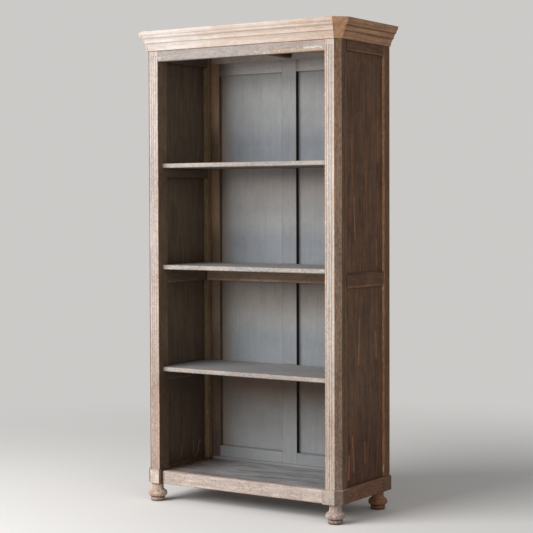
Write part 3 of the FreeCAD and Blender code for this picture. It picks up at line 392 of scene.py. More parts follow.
def painted(name, look, grain, tint):
    """Worn paint on wood for one piece. look is the dictionary of its colours and amounts."""
    material = bpy.data.materials.new("paint_" + name)
    g = Graph(material)
    layer = noise_layers(g, name, look, grain)
    paint, wood, amounts = zoned(g, name, look, layer)
    turn, closed = corners(g, look)
    bare = bare_wood(g, layer, g.times(turn, g.invert(closed), amounts["edge"]), amounts)

    colour = g.mix(bare, paint, wood)
    dark = g.times(g.step(layer["fine"], *SPANS["grain"]), look.get("grain_dark", GRAIN_DARK))
    colour = g.shade(dark, colour, GRAIN)
    fleck = g.math("MINIMUM", 1.0, g.times(g.step(layer["grit"], *SPANS["fleck"]), amounts["fleck"]))
    colour = marked(g, name, layer, g.mix(fleck, colour, look.get("fleck_colour", FLECK)))
    uneven = g.add_up(g.times(g.less(layer["mottle"], 0.5), amounts["mottle"]), 1.0)
    colour = g.shade(1.0, colour, uneven)
    # Dark pits, and dirt and painted shade where a hollow closes round the surface: grooves, corners, joints,
    # undersides
    pit = g.times(g.step(layer["grit"], *SPANS["pit"]), amounts["pit"])
    dirt_and_shade = g.most(pit, g.times(closed, amounts["dirt_and_shade"]))
    colour = g.mix(dirt_and_shade, colour, look.get("dirt_and_shade_colour", DIRT_AND_SHADE))
    colour = g.shade(1.0, colour, (*tint, 1.0))

    shader = g.add("ShaderNodeBsdfPrincipled")
    g.feed(shader.inputs["Base Color"], colour)
    roughness = g.blend(g.most(bare, layer["blotch"]), *look.get("rough", ROUGHNESS))
    g.feed(shader.inputs["Roughness"], roughness)
    shader.inputs["Specular IOR Level"].default_value = SPECULAR
    bump = g.add("ShaderNodeBump")
    bump.inputs["Strength"].default_value = BUMP_STRENGTH
    bump.inputs["Distance"].default_value = BUMP_DEPTH
    g.feed(bump.inputs["Height"], g.less(layer["sum_relief"], bare))
    g.feed(shader.inputs["Normal"], bump.outputs[0])
    g.surface(shader.outputs[0])
    return material


# The four compartments from the lowest up: floor and head in metres
BAYS = (
    (end_of("bottom_board", HIGH, Z), end_of("shelf_lower", LOW, Z)),
    (end_of("shelf_lower", HIGH, Z), end_of("middle_shelf_batten", LOW, Z)),
    (end_of("shelf_middle", HIGH, Z), end_of("shelf_upper", LOW, Z)),
    (end_of("shelf_upper", HIGH, Z), end_of("back_top_rail_left", LOW, Z)),
)

# Painted light and shade on the back, in each compartment: a darker, bluish painted reflection of the
# shelf above its floor, a tone in the middle, and below its head painted light against the shelf's shadow
# in the upper compartments and painted shade, darker and warmer, in the lowest
BACK_BAY_LIGHT = (
    ((147, 149, 151), (147, 145, 143), (146, 127, 115)),
    ((143, 148, 153), (168, 168, 167), (166, 159, 152)),
    ((140, 144, 149), (165, 165, 164), (200, 194, 190)),
    ((131, 135, 140), (157, 158, 159), (188, 188, 187)),
)
LEFT_BAY_LIGHT = (((141, 142, 143), (138, 136, 133), (145, 124, 110)),) + BACK_BAY_LIGHT[1:]
# The left stile in painted shade, darker and browner, by compartment
STILE_BAY_LIGHT = (
    ((104, 87, 80), (118, 101, 85), (116, 98, 82)),
    ((123, 106, 91), (150, 133, 114), (150, 130, 110)),
    ((119, 100, 79), (177, 149, 121), (180, 150, 121)),
    ((102, 82, 64), (163, 137, 110), (183, 149, 119)),
)

# Between these distances from the floor or the head, in metres, one tone gives way to the next
FLOOR_TONE = (-0.01, 0.0)
MIDDLE_TONE = (0.08, 0.22)
HEAD_TONE = (-0.20, -0.06)


def bay_light_zones(tones):
    """The zones that paint light and shade on a part of the back, from the lowest compartment up."""
    zones = []
    for (low, high), (foot, middle, head) in zip(BAYS, tones):
        rows = ((low, FLOOR_TONE, foot), (low, MIDDLE_TONE, middle), (high, HEAD_TONE, head))
        for level, (start, full), tone in rows:
            zones.append((("front", ("H", level + start, level + full)), {"paint": pair(*tone)}))
    return tuple(zones)


BLOCK = {
    "paint": (srgb(213, 197, 186), srgb(192, 175, 163)), "wood": (srgb(156, 114, 86), srgb(120, 84, 62)),
    "rub": 0.08, "edge": 0.9, "thin": 0.3, "mottle": 1.2, "fleck": 0.3, "pit": 0.5,
    "mottle_cells": (80.0, 40.0),
}
BLOCK_INSIDE = ((("W", 0.13, 0.11),), {"paint": UMBER, "edge": 0.0, "fleck": 0.0})
BLOCK_ZONES = (
    (("outer",), {"paint": (srgb(136, 102, 82), srgb(116, 84, 66)), "fleck": 0.15}),
    (("chamfer",), {"paint": (srgb(152, 132, 120), srgb(134, 110, 98)), "fleck": 0.3}),
    (("inner",), {"paint": UMBER, "edge": 0.3, "fleck": 0.0}),
    (("top",), {"paint": (srgb(150, 126, 108), srgb(130, 106, 88)), "rub": 0.16}),
    (("rear",), {"paint": UMBER, "fleck": 0.0}),
)
BACK = {
    "paint": GREY, "wood": (srgb(128, 108, 90), srgb(108, 88, 70)), "rub": 0.0, "edge": 0.35, "thin": 0.08,
    "mottle": 0.25, "pit": 0.0, "grain_dark": 0.12,
}
BACK_REAR = (("rear",), {"paint": TAUPE, "rub": 0.1, "streak": 0.12, "thin": 0.3})
# Sideways faces of the back's frame, such as the muntin's sides, painted near-black: a painted shadow in the
# gaps beside the panels
BACK_SIDE_SHADOW = (("outer",), {"paint": SHADOW_BLACK, "edge": 0.1})
# The back's top rails in pale paint, a painted light where the frieze shades them
BACK_TOP_PAINTED_LIGHT = {
    "paint": (srgb(228, 222, 218), srgb(218, 212, 208)), "wood": (srgb(160, 136, 114), srgb(136, 112, 92)),
    "edge": 0.2, "rub": 0.0, "thin": 0.1, "mottle": 0.4,
}
BACK_TOP_REAR = (("rear",), {"paint": TAUPE, "streak": 0.12})

# The two front posts differ in tone only, the rails of the sides differ from the panels in their edges
POST = {
    "wood": TAN, "rub": 0.10, "edge": 0.9, "thin": 0.4, "streak": 0.05, "dirt_and_shade": 0.15, "dirt_and_shade_reach": 0.006,
    "mottle": 1.1, "fleck": 0.6, "pit": 0.25,
}
POST_FOOT = {"rub": 0.14, "streak": 0.08}
POST_INNER_WOOD = (srgb(150, 118, 88), srgb(120, 92, 68))
POST_ZONES = (
    (("front", ("W", 0.26, 0.28), ("W", 0.38, 0.36)), {"dirt_and_shade": 0.6}),
    (("front", ("w", 0.08, 0.0)), {"paint": TAN, "rub": 0.2}),
    (("outer",), {"paint": (srgb(108, 82, 62), srgb(86, 64, 49)), "fleck": 0.04, "mottle": 1.8}),
    (("inner",), {"paint": (srgb(124, 102, 84), srgb(103, 84, 68)), "wood": POST_INNER_WOOD}),
    (("inner",), {"fleck": 0.0, "dirt_and_shade": 0.4}),
    (("inner", ("z", 0.55, 1.0)), {"paint": (srgb(133, 111, 93), srgb(113, 93, 77))}),
    (("inner", ("z", 0.34, 0.20)), {"paint": (srgb(95, 75, 59), srgb(79, 62, 48))}),
    (("inner", ("z", 0.08, 0.0)), {"rub": 0.22, "fleck": 0.4}),
    (("rear",), {"paint": TAUPE}),
    (("chamfer",), {"paint": (srgb(143, 123, 108), srgb(125, 103, 88)), "rub": 0.06, "streak": 0.04}),
    (("chamfer",), {"mottle": 2.2, "fleck": 0.15}),
    (("chamfer", ("z", 0.5, 1.0)), {"paint": (srgb(150, 120, 94), srgb(132, 101, 75))}),
    (("chamfer", ("z", 0.3, 0.0)), {"paint": (srgb(138, 124, 117), srgb(118, 101, 93))}),
    (("chamfer", ("w", 0.78, 0.72)), {"paint": (srgb(164, 120, 84), srgb(124, 94, 70)), "rub": 0.16}),
    (("chamfer", ("w", 0.94, 0.98)), {"paint": (srgb(162, 126, 96), srgb(128, 99, 78)), "rub": 0.12}),
)
SIDE = {
    "paint": (srgb(109, 79, 58), srgb(82, 59, 44)), "wood": (srgb(182, 122, 80), srgb(142, 92, 60)),
    "rub": 0.03, "edge": 0.7, "thin": 0.22, "dirt_and_shade": 0.9, "dirt_and_shade_reach": 0.02, "streak": 0.13, "mottle": 1.9,
    "fleck": 0.1, "mottle_cells": (52.0, 5.0), "streak_cells": (17.0, 2.4),
    "fleck_colour": srgb(150, 120, 94),
}
SIDE_INNER = (
    (
        ("inner",),
        {"paint": (srgb(110, 95, 77), srgb(97, 82, 67)), "streak": 0.0, "thin": 0.15, "mottle": 1.2},
    ),
    (("inner",), {"edge": 0.3, "wood": (srgb(140, 112, 84), srgb(118, 92, 68))}),
    (("inner", ("H", 0.98, 0.45)), {"paint": (srgb(94, 79, 66), srgb(83, 69, 57))}),
)
# Painted shade for the cornice's grooves, and a painted highlight for the hollow member between them
CORNICE_GROOVE_SHADE = {"paint": (srgb(140, 102, 76), srgb(120, 86, 64)), "rub": 0.0}
CORNICE_HOLLOW_HIGHLIGHT = {"paint": (srgb(212, 166, 130), srgb(178, 136, 103))}
LOOKS = {
    "cornice_front": {
        "paint": (srgb(226, 217, 211), srgb(212, 200, 191)),
        "wood": (srgb(204, 166, 138), srgb(182, 142, 114)), "rub": 0.12, "edge": 0.3, "thin": 0.35,
        "dirt_and_shade": 0.4, "dirt_and_shade_reach": 0.008, "dirt_and_shade_colour": srgb(136, 98, 74), "mottle": 0.5, "pit": 0.12,
        "mottle_cells": (190.0, 40.0),
        "zones": (
            ((("x", 0.1, 0.6),), {"paint": (srgb(218, 203, 192), srgb(205, 186, 171))}),
            (
                (("x", 0.6, 0.98),),
                {"paint": (srgb(212, 194, 181), srgb(199, 176, 158)), "rub": 0.15, "pit": 0.5, "mottle": 0.9},
            ),
            ((("Z", 0.05, 0.02),), {"dirt_and_shade": 0.9}),
            (("top",), {"paint": RAW, "wood": TAN}),
            (("rear",), {"paint": RAW, "wood": TAN}),
        ),
    },
    "cornice_corner": {
        "paint": (srgb(213, 167, 130), srgb(192, 147, 112)), "wood": RAW, "rub": 0.12, "edge": 0.5,
        "mottle": 1.4, "pit": 0.2, "mottle_cells": (60.0, 30.0),
        "zones": ((("top",), {"wood": TAN}),),
    },
    "cornice_side": {
        "paint": (srgb(196, 153, 120), srgb(164, 123, 94)),
        "wood": (srgb(218, 172, 133), srgb(190, 146, 111)), "rub": 0.14, "edge": 1.0, "edge_width": 0.005,
        "thin": 0.5, "dirt_and_shade": 1.0, "dirt_and_shade_reach": 0.016, "mottle": 2.4, "pit": 0.5,
        "mottle_cells": (190.0, 6.0),
        "zones": (
            # Painted shade in the two grooves and at the foot of the moulding, and a painted highlight on the
            # hollow between them, by height in metres
            ((("H", 1.9670, 1.9680), ("H", 1.9725, 1.9715)), CORNICE_GROOVE_SHADE),
            ((("H", 1.9460, 1.9470), ("H", 1.9510, 1.9500)), CORNICE_GROOVE_SHADE),
            ((("H", 1.9530, 1.9550), ("H", 1.9645, 1.9625)), CORNICE_HOLLOW_HIGHLIGHT),
            ((("H", 1.9230, 1.9190),), {"paint": (srgb(130, 95, 70), srgb(110, 79, 58))}),
            (("top",), {"wood": TAN}),
        ),
    },
    "post_left": {
        **POST, "paint": (srgb(211, 202, 196), srgb(191, 183, 178)),
        "zones": (
            (("front", ("z", 0.82, 0.62)), {"paint": (srgb(202, 193, 188), srgb(183, 175, 171))}),
            (
                ("front", ("z", 0.46, 0.12)),
                {**POST_FOOT, "paint": (srgb(187, 166, 152), srgb(164, 145, 133))},
            ),
        ) + POST_ZONES,
    },
    "post_right": {
        **POST, "paint": (srgb(216, 206, 197), srgb(197, 187, 179)),
        "zones": (
            (("front", ("z", 0.72, 0.95)), {"paint": (srgb(211, 200, 191), srgb(192, 182, 173))}),
            (
                ("front", ("z", 0.42, 0.12)),
                {**POST_FOOT, "paint": (srgb(208, 190, 177), srgb(183, 167, 155))},
            ),
        ) + POST_ZONES,
    },
    "frieze": {
        "paint": (srgb(166, 158, 154), srgb(150, 143, 140)),
        "wood": (srgb(200, 160, 126), srgb(178, 136, 102)), "rub": 0.06, "edge": 0.6, "thin": 0.2,
        "mottle": 1.0, "fleck": 0.25, "pit": 0.2, "mottle_cells": (150.0, 40.0),
        "zones": (
            (("front", ("x", 0.45, 0.85)), {"paint": (srgb(170, 157, 147), srgb(152, 139, 129))}),
            (("front", ("z", 0.50, 0.20), ("x", 0.25, 0.65)), {"rub": 0.19, "edge": 1.0, "fleck": 0.6}),
            (("front", ("Z", 0.07, 0.0)), {"paint": RAW}),
            (("front", ("X", 0.02, 0.0)), {"edge": 0.0, "dirt_and_shade": 0.0, "fleck": 0.8}),
            (("front", ("X", 0.98, 1.0)), {"edge": 0.0, "dirt_and_shade": 0.0}),
            (("rear",), {"paint": GREY}),
            (("under",), {"paint": GREY}),
        ),
    },
    "side": {
        **SIDE,
        "zones": (
            (("outer", ("H", 1.05, 0.60)), {"wood": RUST, "streak": 0.15, "thin": 0.3}),
            (("outer", ("H", 0.95, 0.75)), {"paint": (srgb(110, 83, 64), srgb(86, 64, 49))}),
            (("outer", ("H", 0.50, 0.28)), {"paint": (srgb(90, 61, 44), srgb(66, 44, 32)), "streak": 0.18}),
            (("outer", ("y", 0.30, 0.02)), {"thin": 0.5}),
        ) + SIDE_INNER + ((("inner", ("z", 0.12, 0.0)), {"rub": 0.14, "paint": UMBER}),),
    },
    "side_rail": {
        **SIDE, "mottle_cells": (110.0, 16.0),
        "zones": (
            (("outer", ("Z", 0.82, 0.97)), {"paint": UMBER, "streak": 0.0}),
            (("outer", ("Z", 0.22, 0.06)), {"paint": (srgb(140, 106, 80), srgb(118, 88, 66))}),
        ) + SIDE_INNER,
    },
    "rear_post": {
        "paint": (srgb(130, 96, 70), srgb(110, 82, 60)), "wood": (srgb(166, 118, 80), srgb(140, 98, 66)),
        "rub": 0.06, "edge": 0.5, "thin": 0.35, "streak": 0.08, "mottle": 1.5,
        "zones": (
            (("outer",), {"paint": (srgb(116, 84, 60), srgb(98, 71, 51))}),
            # Front face and bevel in pale tan: worn paint, with a painted highlight where the lamps do not
            # reach
            (("front",), {"paint": (srgb(167, 145, 113), srgb(148, 127, 100)), "thin": 0.4}),
            (("inner",), {"paint": (srgb(150, 128, 100), srgb(128, 108, 84))}),
            (
                ("chamfer",),
                {"paint": (srgb(190, 144, 107), srgb(158, 118, 86)), "edge": 0.0, "mottle": 2.2, "pit": 0.4},
            ),
            (("chamfer", ("z", 0.52, 0.30)), {"paint": (srgb(170, 124, 88), srgb(134, 98, 70))}),
            (("rear",), {"paint": TAUPE}),
        ),
    },
    "back": {**BACK, "zones": bay_light_zones(BACK_BAY_LIGHT) + (BACK_REAR, BACK_SIDE_SHADOW)},
    "back_muntin": {
        **BACK,
        "zones": bay_light_zones(BACK_BAY_LIGHT) + (
            # A painted light at the head of the muntin, under the frieze
            (("front", ("H", 1.80, 1.86)), {"paint": pair(226, 222, 219)}),
            BACK_REAR,
            BACK_SIDE_SHADOW,
        ),
    },
    "back_left": {
        **BACK,
        "zones": bay_light_zones(LEFT_BAY_LIGHT) + (
            # Painted shade, darker and warmer, towards the left side of the case
            (("front", ("x", 0.26, 0.0)), {"paint": pair(138, 126, 114)}),
            BACK_REAR,
        ),
    },
    "back_top": {
        **BACK_TOP_PAINTED_LIGHT,
        "zones": (
            # Painted shade, darker and browner, towards the left side of the case
            (("front", ("x", 0.14, 0.0)), {"paint": (srgb(170, 148, 128), srgb(150, 128, 108))}),
            BACK_TOP_REAR,
        ),
    },
    "back_top_left": {
        **BACK_TOP_PAINTED_LIGHT,
        "zones": (
            # Painted shade, darker and browner, towards the left side of the case
            (("front", ("x", 0.36, 0.02)), {"paint": (srgb(126, 106, 90), srgb(108, 90, 75))}),
            BACK_TOP_REAR,
        ),
    },
    "back_upper": {
        **BACK_TOP_PAINTED_LIGHT,
        # Paler still, a painted light on the rail right under the ceiling
        "paint": (srgb(249, 232, 219), srgb(238, 221, 208)),
        "zones": (
            # Painted shade, darker and browner, towards the left side of the case
            (("front", ("x", 0.14, 0.0)), {"paint": (srgb(173, 131, 97), srgb(153, 113, 82))}),
            BACK_TOP_REAR,
        ),
    },
    # The back's left stile, darker and browner than the rest of the back: painted shade from the case's left
    # side
    "back_edge": {
        "paint": (srgb(124, 104, 86), srgb(106, 88, 71)), "wood": (srgb(154, 124, 98), srgb(122, 98, 76)),
        "rub": 0.04, "edge": 0.9, "streak": 0.1, "thin": 0.4, "mottle": 0.8,
        "zones": bay_light_zones(STILE_BAY_LIGHT) + (
            (("inner",), {"paint": (srgb(118, 100, 84), srgb(98, 82, 68)), "edge": 0.3, "dirt_and_shade": 0.3}),
            (("rear",), {"paint": TAUPE}),
        ),
    },
    "batten": {
        "paint": (srgb(178, 156, 134), srgb(158, 137, 116)),
        "wood": (srgb(214, 176, 142), srgb(188, 150, 118)), "rub": 0.03, "edge": 1.0, "thin": 0.3,
        "mottle": 1.0,
        "zones": (
            (
                ("front", ("z", 0.26, 0.06)),
                {"paint": (srgb(218, 186, 158), srgb(190, 152, 122)), "rub": 0.14},
            ),
            (("rear",), {"paint": TAUPE}),
        ),
    },
    "shelf": {
        "paint": (srgb(152, 151, 151), srgb(140, 140, 141)),
        "wood": (srgb(182, 142, 112), srgb(146, 108, 82)), "rub": 0.03, "edge": 0.8, "thin": 0.1,
        "mottle": 0.9, "fleck": 0.1,
        "zones": (
            (("front",), {"paint": (srgb(178, 174, 170), srgb(160, 156, 152)), "rub": 0.05, "edge": 1.0}),
            (("front",), {"dirt_and_shade": 0.15, "fleck": 0.6, "mottle": 1.2}),
            (
                ("front", ("x", 0.35, 0.5), ("x", 0.8, 0.65)),
                {"paint": (srgb(160, 159, 158), srgb(146, 145, 144))},
            ),
            (("front", ("Z", 0.22, 0.06)), {"paint": (srgb(148, 116, 92), srgb(122, 94, 74))}),
            (("front", ("Z", 0.84, 0.96)), {"paint": (srgb(200, 158, 128), srgb(174, 136, 110))}),
            (("top", ("Y", 0.03, 0.0)), {"paint": (srgb(196, 150, 120), srgb(172, 130, 104))}),
            (("under",), {"paint": (srgb(128, 118, 108), srgb(114, 102, 92))}),
        ),
    },
    "floor_board": {
        "paint": (srgb(151, 152, 154), srgb(133, 135, 137)), "wood": (srgb(158, 124, 100), srgb(124, 92, 72)),
        "rub": 0.05, "edge": 0.8, "thin": 0.3, "mottle": 2.4, "fleck": 0.4, "mottle_cells": (24.0, 5.0),
        "streak_cells": (22.0, 3.0), "streak": 0.08,
        "zones": (
            (("top", ("y", 0.30, 0.02)), {"rub": 0.14, "thin": 0.6, "streak": 0.16}),
            # Painted shade towards the left side of the case, and a darker, browner painted shadow right
            # beside it
            (("top", ("x", 0.42, 0.05)), {"paint": (srgb(126, 121, 119), srgb(108, 103, 101))}),
            (("top", ("x", 0.09, 0.03)), {"paint": (srgb(100, 78, 64), srgb(84, 62, 50))}),
        ),
    },
    "plinth_front": {
        "paint": (srgb(214, 197, 187), srgb(192, 174, 163)),
        "wood": (srgb(140, 98, 74), srgb(104, 70, 52)), "rub": 0.10, "edge": 1.0, "thin": 0.22,
        "streak": 0.13, "streak_cells": (75.0, 9.0), "edge_width": 0.006, "mottle": 0.9, "fleck": 0.35,
        "pit": 0.6, "mottle_cells": (90.0, 14.0), "dirt_and_shade": 0.3,
        "zones": (
            (("top",), {"rub": 0.26, "thin": 0.6}),
            ((("z", 0.72, 1.0),), {"rub": 0.22, "streak": 0.17}),
            (("rear",), {"paint": TAUPE}),
            (("under",), {"paint": TAUPE}),
        ),
    },
    "plinth_side": {
        "paint": (srgb(131, 91, 70), srgb(106, 73, 56)), "wood": (srgb(172, 126, 98), srgb(132, 92, 68)),
        "rub": 0.10, "edge": 0.9, "thin": 0.4, "streak": 0.08, "mottle": 2.8, "fleck": 0.2, "pit": 0.6,
        "fleck_colour": srgb(176, 150, 132), "zones": ((("inner",), {"paint": UMBER}),),
    },
    "block": {**BLOCK, "zones": BLOCK_ZONES},
    "block_left": {**BLOCK, "zones": BLOCK_ZONES + (BLOCK_INSIDE,)},
    "block_rear": {
        "paint": (srgb(132, 100, 80), srgb(112, 82, 64)), "wood": (srgb(156, 114, 86), srgb(120, 84, 62)),
        "rub": 0.08, "edge": 0.6, "mottle": 1.8, "fleck": 0.1,
        "zones": (
            (("front",), {"paint": UMBER, "edge": 0.2}),
            (("inner",), {"paint": UMBER, "edge": 0.2}),
            BLOCK_INSIDE,
        ),
    },
    # The front feet: strong dark in their hollows and a dark underside, dirt and painted shade from the case
    # above
    "foot_front": {
        "paint": (srgb(202, 186, 176), srgb(176, 154, 138)),
        "wood": (srgb(150, 104, 74), srgb(112, 76, 54)), "rub": 0.18, "edge": 0.8, "dirt_and_shade": 1.0,
        "dirt_and_shade_reach": 0.024, "thin": 0.3, "mottle": 2.0, "fleck": 0.3, "pit": 0.7,
        "mottle_cells": (80.0, 70.0),
        "zones": (
            ((("Z", 0.74, 0.80),), {"paint": (srgb(176, 142, 116), srgb(150, 116, 92))}),
            ((("z", 0.24, 0.10),), {"paint": (srgb(194, 170, 154), srgb(166, 138, 120)), "rub": 0.17}),
            (("under",), {"paint": UMBER}),
        ),
    },
    # The rear feet: strong dark in their hollows, dirt and painted shade from the case above
    "foot_rear": {
        "paint": (srgb(162, 122, 90), srgb(134, 98, 70)),
        "wood": (srgb(190, 148, 112), srgb(146, 106, 76)), "rub": 0.14, "edge": 0.7, "dirt_and_shade": 1.0,
        "dirt_and_shade_reach": 0.03, "thin": 0.3, "mottle": 2.6, "fleck": 0.3, "pit": 0.6,
    },
    "bare": {
        "paint": (srgb(168, 134, 100), srgb(148, 114, 84)), "wood": (srgb(150, 116, 86), srgb(126, 94, 68)),
        "rub": 0.1, "edge": 0.3, "streak": 0.1,
    },
    "iron": {
        "paint": (srgb(96, 90, 86), srgb(76, 70, 66)), "wood": (srgb(120, 80, 56), srgb(88, 60, 44)),
        "rub": 0.1, "edge": 0.4, "dirt_and_shade": 0.5, "rough": (0.45, 0.7),
    },
}

# The first row that a node's name starts with gives its look, the axis that its grain runs along, and
# how bright it is, in all or in red, green and blue
NODE_LOOKS = (
    ("cornice_front", "cornice_front", X, 1.0),
    ("cornice_corner_left", "cornice_front", X, 1.0),
    ("cornice_corner", "cornice_corner", X, 1.0),
    ("cornice_side", "cornice_side", Y, 1.0),
    ("cornice_back", "bare", X, 1.0),
    ("front_post_right", "post_right", Z, 0.96),
    ("front_post", "post_left", Z, 1.0),
    ("frieze_rail", "frieze", X, 1.0),
    ("rear_post", "rear_post", Z, 1.0),
    ("side_mid_rail", "side_rail", Y, 1.05),
    ("side_top_rail", "side_rail", Y, 1.0),
    ("side_lining", "side", Z, 1.0),
    ("side_panel", "side", Z, 1.0),
    ("back_stile_left", "back_edge", Z, 1.0),
    ("back_panel_left", "back_left", Z, 1.09),
    ("back_muntin", "back_muntin", Z, 0.95),
    ("back_stile", "back", Z, 1.0),
    ("back_panel", "back", Z, 0.96),
    ("back_top_rail_left", "back_top_left", X, 1.0),
    ("back_top_rail", "back_top", X, 1.0),
    ("back_bottom_rail_left", "back", X, 0.98),
    ("back_bottom_rail", "back", X, 0.87),
    ("ceiling_board", "back", X, 1.1),
    ("back_upper_rail", "back_upper", X, 1.0),
    # The back floor strip is toned down: painted shade against the light on its top
    ("back_floor_strip", "back", X, 0.72),
    ("bottom_board", "floor_board", X, 1.0),
    ("shelf", "shelf", X, 1.0),
    ("cleat_screws", "iron", X, 1.0),
    ("cleat", "side", Y, 1.0),
    ("middle_shelf_batten", "batten", X, 1.0),
    ("plinth_rail_front", "plinth_front", X, 0.92),
    ("plinth_rail_back", "bare", X, 0.9),
    ("plinth_rail", "plinth_side", Y, 1.0),
    ("plinth_block_front_right", "block", Z, 0.82),
    ("plinth_block_front", "block_left", Z, 1.06),
    ("plinth_block_rear", "block_rear", Z, 1.0),
    ("foot_front_right", "foot_front", Z, (0.95, 0.94, 1.01)),
    ("foot_front", "foot_front", Z, (1.21, 1.13, 1.09)),
    ("foot_rear", "foot_rear", Z, (1.03, 0.90, 0.88)),
    ("back_pins", "iron", Y, 1.0),
    ("top_bearer", "side", Y, 1.0),
    ("", "bare", X, 1.0),
)

# Scratches, worn lines and pale chips. They lie on a face of a piece, its end along an axis, or so far
# from that end. A mark has two points, each given by the other two axes, a width and a colour, in metres
MARKS = (
    ("side_panel_lower_left", HIGH, X, 0.0, (
        ((0.091, 0.225), (0.091, 0.160), 0.0030, WORN_DIM),
        ((0.141, 0.218), (0.119, 0.162), 0.0036, WORN),
        ((0.119, 0.162), (0.100, 0.150), 0.0030, WORN_DIM),
        ((0.004, 0.205), (-0.004, 0.165), 0.0030, WORN_DIM),
    )),
    ("side_mid_rail_left", HIGH, X, 0.0, (((-0.122, 0.9375), (0.097, 0.9400), 0.0016, WORN_DIM),)),
    ("cleat_lower_left", HIGH, X, 0.0, (((-0.125, 0.5190), (0.042, 0.5180), 0.0016, WORN_DIM),)),
    ("side_top_rail_right", HIGH, X, 0.0, (((-0.052, 1.8785), (0.162, 1.8785), 0.0020, RUST[0]),)),
    ("side_lining_right", HIGH, X, 0.0, (
        ((-0.070, 1.545), (-0.068, 1.350), 0.0060, WORN_RED),
        ((0.046, 1.400), (0.044, 1.325), 0.0050, WORN_RED),
        ((0.138, 1.620), (0.144, 1.440), 0.0045, WORN_RED),
        ((-0.052, 1.290), (-0.046, 1.130), 0.0055, WORN_TAN),
        ((0.130, 1.120), (0.132, 1.020), 0.0045, WORN_TAN),
        ((-0.010, 0.805), (-0.013, 0.700), 0.0045, WORN_TAN),
        ((-0.013, 0.705), (-0.018, 0.625), 0.0080, WORN_TAN),
        ((0.124, 0.745), (0.128, 0.640), 0.0055, WORN_TAN),
        ((-0.066, 0.335), (-0.056, 0.195), 0.0075, WORN_RED),
        ((-0.092, 0.260), (-0.100, 0.172), 0.0080, WORN_RED),
        ((0.030, 0.300), (0.036, 0.220), 0.0045, WORN_RED),
    )),
    ("front_post_left", LOW, Y, 0.0, (
        ((-0.412, 1.335), (-0.412, 1.265), 0.0040, WORN),
        ((-0.412, 0.420), (-0.412, 0.300), 0.0030, WORN),
    )),
    ("middle_shelf_batten", LOW, Y, 0.0, (
        ((-0.230, 0.9390), (-0.140, 0.9370), 0.0040, CHIP),
        ((-0.109, 0.9360), (-0.036, 0.9370), 0.0040, CHIP),
    )),
    ("frieze_rail", LOW, Y, 0.0, (
        ((0.060, 1.8850), (0.280, 1.8870), 0.0024, WORN),
        ((0.280, 1.8840), (0.396, 1.8830), 0.0034, WORN),
        ((0.318, 1.8895), (0.352, 1.8905), 0.0032, CHIP),
        ((0.356, 1.8885), (0.378, 1.8915), 0.0042, CHIP),
        ((0.384, 1.8900), (0.398, 1.8875), 0.0034, CHIP),
        ((-0.412, 1.890), (-0.398, 1.887), 0.0040, CHIP),
    )),
    # On the rear post's bevel
    ("rear_post_right", HIGH, X, -0.0055, (((0.1770, 0.930), (0.1770, 0.914), 0.0030, CHIP),)),
    ("rear_post_right", HIGH, X, -0.0035, (((0.1790, 0.188), (0.1790, 0.160), 0.0018, CHIP),)),
    ("plinth_block_front_left", LOW, Y, 0.0, (((-0.455, 0.128), (-0.438, 0.120), 0.0030, CHIP),)),
)

for name, thing in nodes.items():
    _, look, grain, tint = next(row for row in NODE_LOOKS if name.startswith(row[0]))
    material = painted(name, LOOKS[look], grain, tint if isinstance(tint, tuple) else (tint,) * 3)
    if not thing.material_slots:
        thing.data.materials.append(material)
    for slot in thing.material_slots:
        slot.material = material

# Plain pale surroundings: what the camera and mirrors see, and what lights the object
PALE = (0.60, 0.59, 0.575, 1.0)
FLOOR_SEEN = (0.93, 0.915, 0.895, 1.0)
SKY, SKY_STRENGTH = (1.0, 0.99, 0.98, 1.0), 0.27

# The floor in metres: a disc just under the feet, plain near them and faded out further off
FLOOR_RADIUS, FLOOR_CORNERS, FLOOR_DROP = 9.0, 96, 0.0005
FLOOR_PLAIN, FLOOR_GONE = 1.1, 3.6

# Lamps: name, place, target, width and height in metres, power in watts
LAMPS = (
    ("key", (-2.3, -4.6, 3.1), (0.0, 0.0, 1.1), 4.6, 3.0, 365),
    ("fill", (4.5, -2.5, 2.4), (0.0, 0.0, 1.0), 2.5, 2.5, 28),
)


def seen_directly(g):
    """1 for the rays that show the surroundings themselves, 0 for the rays that light the object."""
    path = g.add("ShaderNodeLightPath").outputs
    return g.most(path["Is Camera Ray"], path["Is Glossy Ray"], path["Is Transmission Ray"])


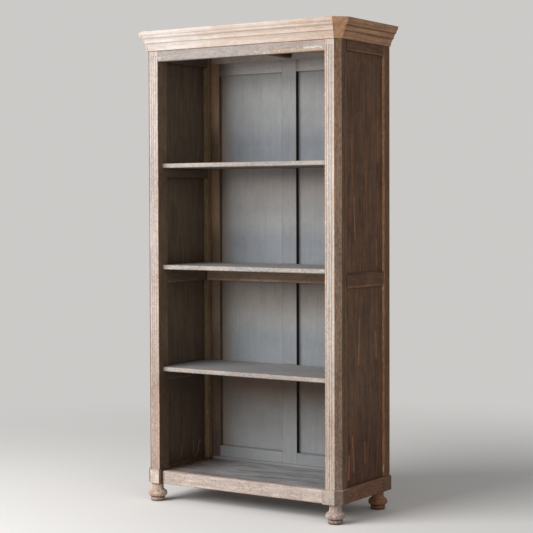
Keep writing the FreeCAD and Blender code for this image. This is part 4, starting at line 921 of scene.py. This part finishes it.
def background(g, colour, strength):
    """A plain background shader of the world."""
    made = g.add("ShaderNodeBackground")
    made.inputs["Color"].default_value = colour
    made.inputs["Strength"].default_value = strength
    return made.outputs[0]


def softbox(name, place, target, width, height, power):
    """A rectangular studio lamp that faces its target."""
    data = bpy.data.lights.new(name, "AREA")
    data.shape = "RECTANGLE"
    data.size, data.size_y = width, height
    data.energy = power
    lamp = bpy.data.objects.new(name, data)
    lamp.location = place
    lamp.rotation_euler = (Vector(target) - Vector(place)).to_track_quat("-Z", "Y").to_euler()
    bpy.context.scene.collection.objects.link(lamp)


bpy.ops.mesh.primitive_circle_add(
    vertices=FLOOR_CORNERS, radius=FLOOR_RADIUS, fill_type="NGON", location=(0, 0, -FLOOR_DROP)
)
floor = bpy.context.object
floor.name = "studio_floor"
ground = bpy.data.materials.new("studio_floor")
g = Graph(ground)
matt = g.add("ShaderNodeBsdfDiffuse")
g.feed(matt.inputs["Color"], g.mix(seen_directly(g), PALE, FLOOR_SEEN))
clear = g.add("ShaderNodeBsdfTransparent")
far = g.step(g.vector("LENGTH", g.place["Object"]), FLOOR_PLAIN, FLOOR_GONE)
g.surface(g.either(far, matt.outputs[0], clear.outputs[0]))
floor.data.materials.append(ground)

for lamp in LAMPS:
    softbox(*lamp)

world = bpy.data.worlds.new("studio")
bpy.context.scene.world = world
g = Graph(world)
g.surface(g.either(seen_directly(g), background(g, SKY, SKY_STRENGTH), background(g, PALE, 1.0)))

camera_data = bpy.data.cameras.new("photo_view")
camera_data.lens = CAMERA_LENS
camera_data.sensor_width = CAMERA_SENSOR
camera_data.shift_y = SHIFT_PIXELS / PICTURE_PIXELS
camera = bpy.data.objects.new("photo_view", camera_data)
turned = Matrix.Rotation(CAMERA_YAW, 4, "Z") @ Matrix.Rotation(math.pi / 2 + CAMERA_PITCH, 4, "X")
camera.matrix_world = Matrix.Translation(CAMERA_PLACE) @ turned @ Matrix.Rotation(CAMERA_ROLL, 4, "Z")
bpy.context.scene.collection.objects.link(camera)
bpy.context.scene.camera = camera
bpy.context.scene.view_settings.view_transform = "Standard"
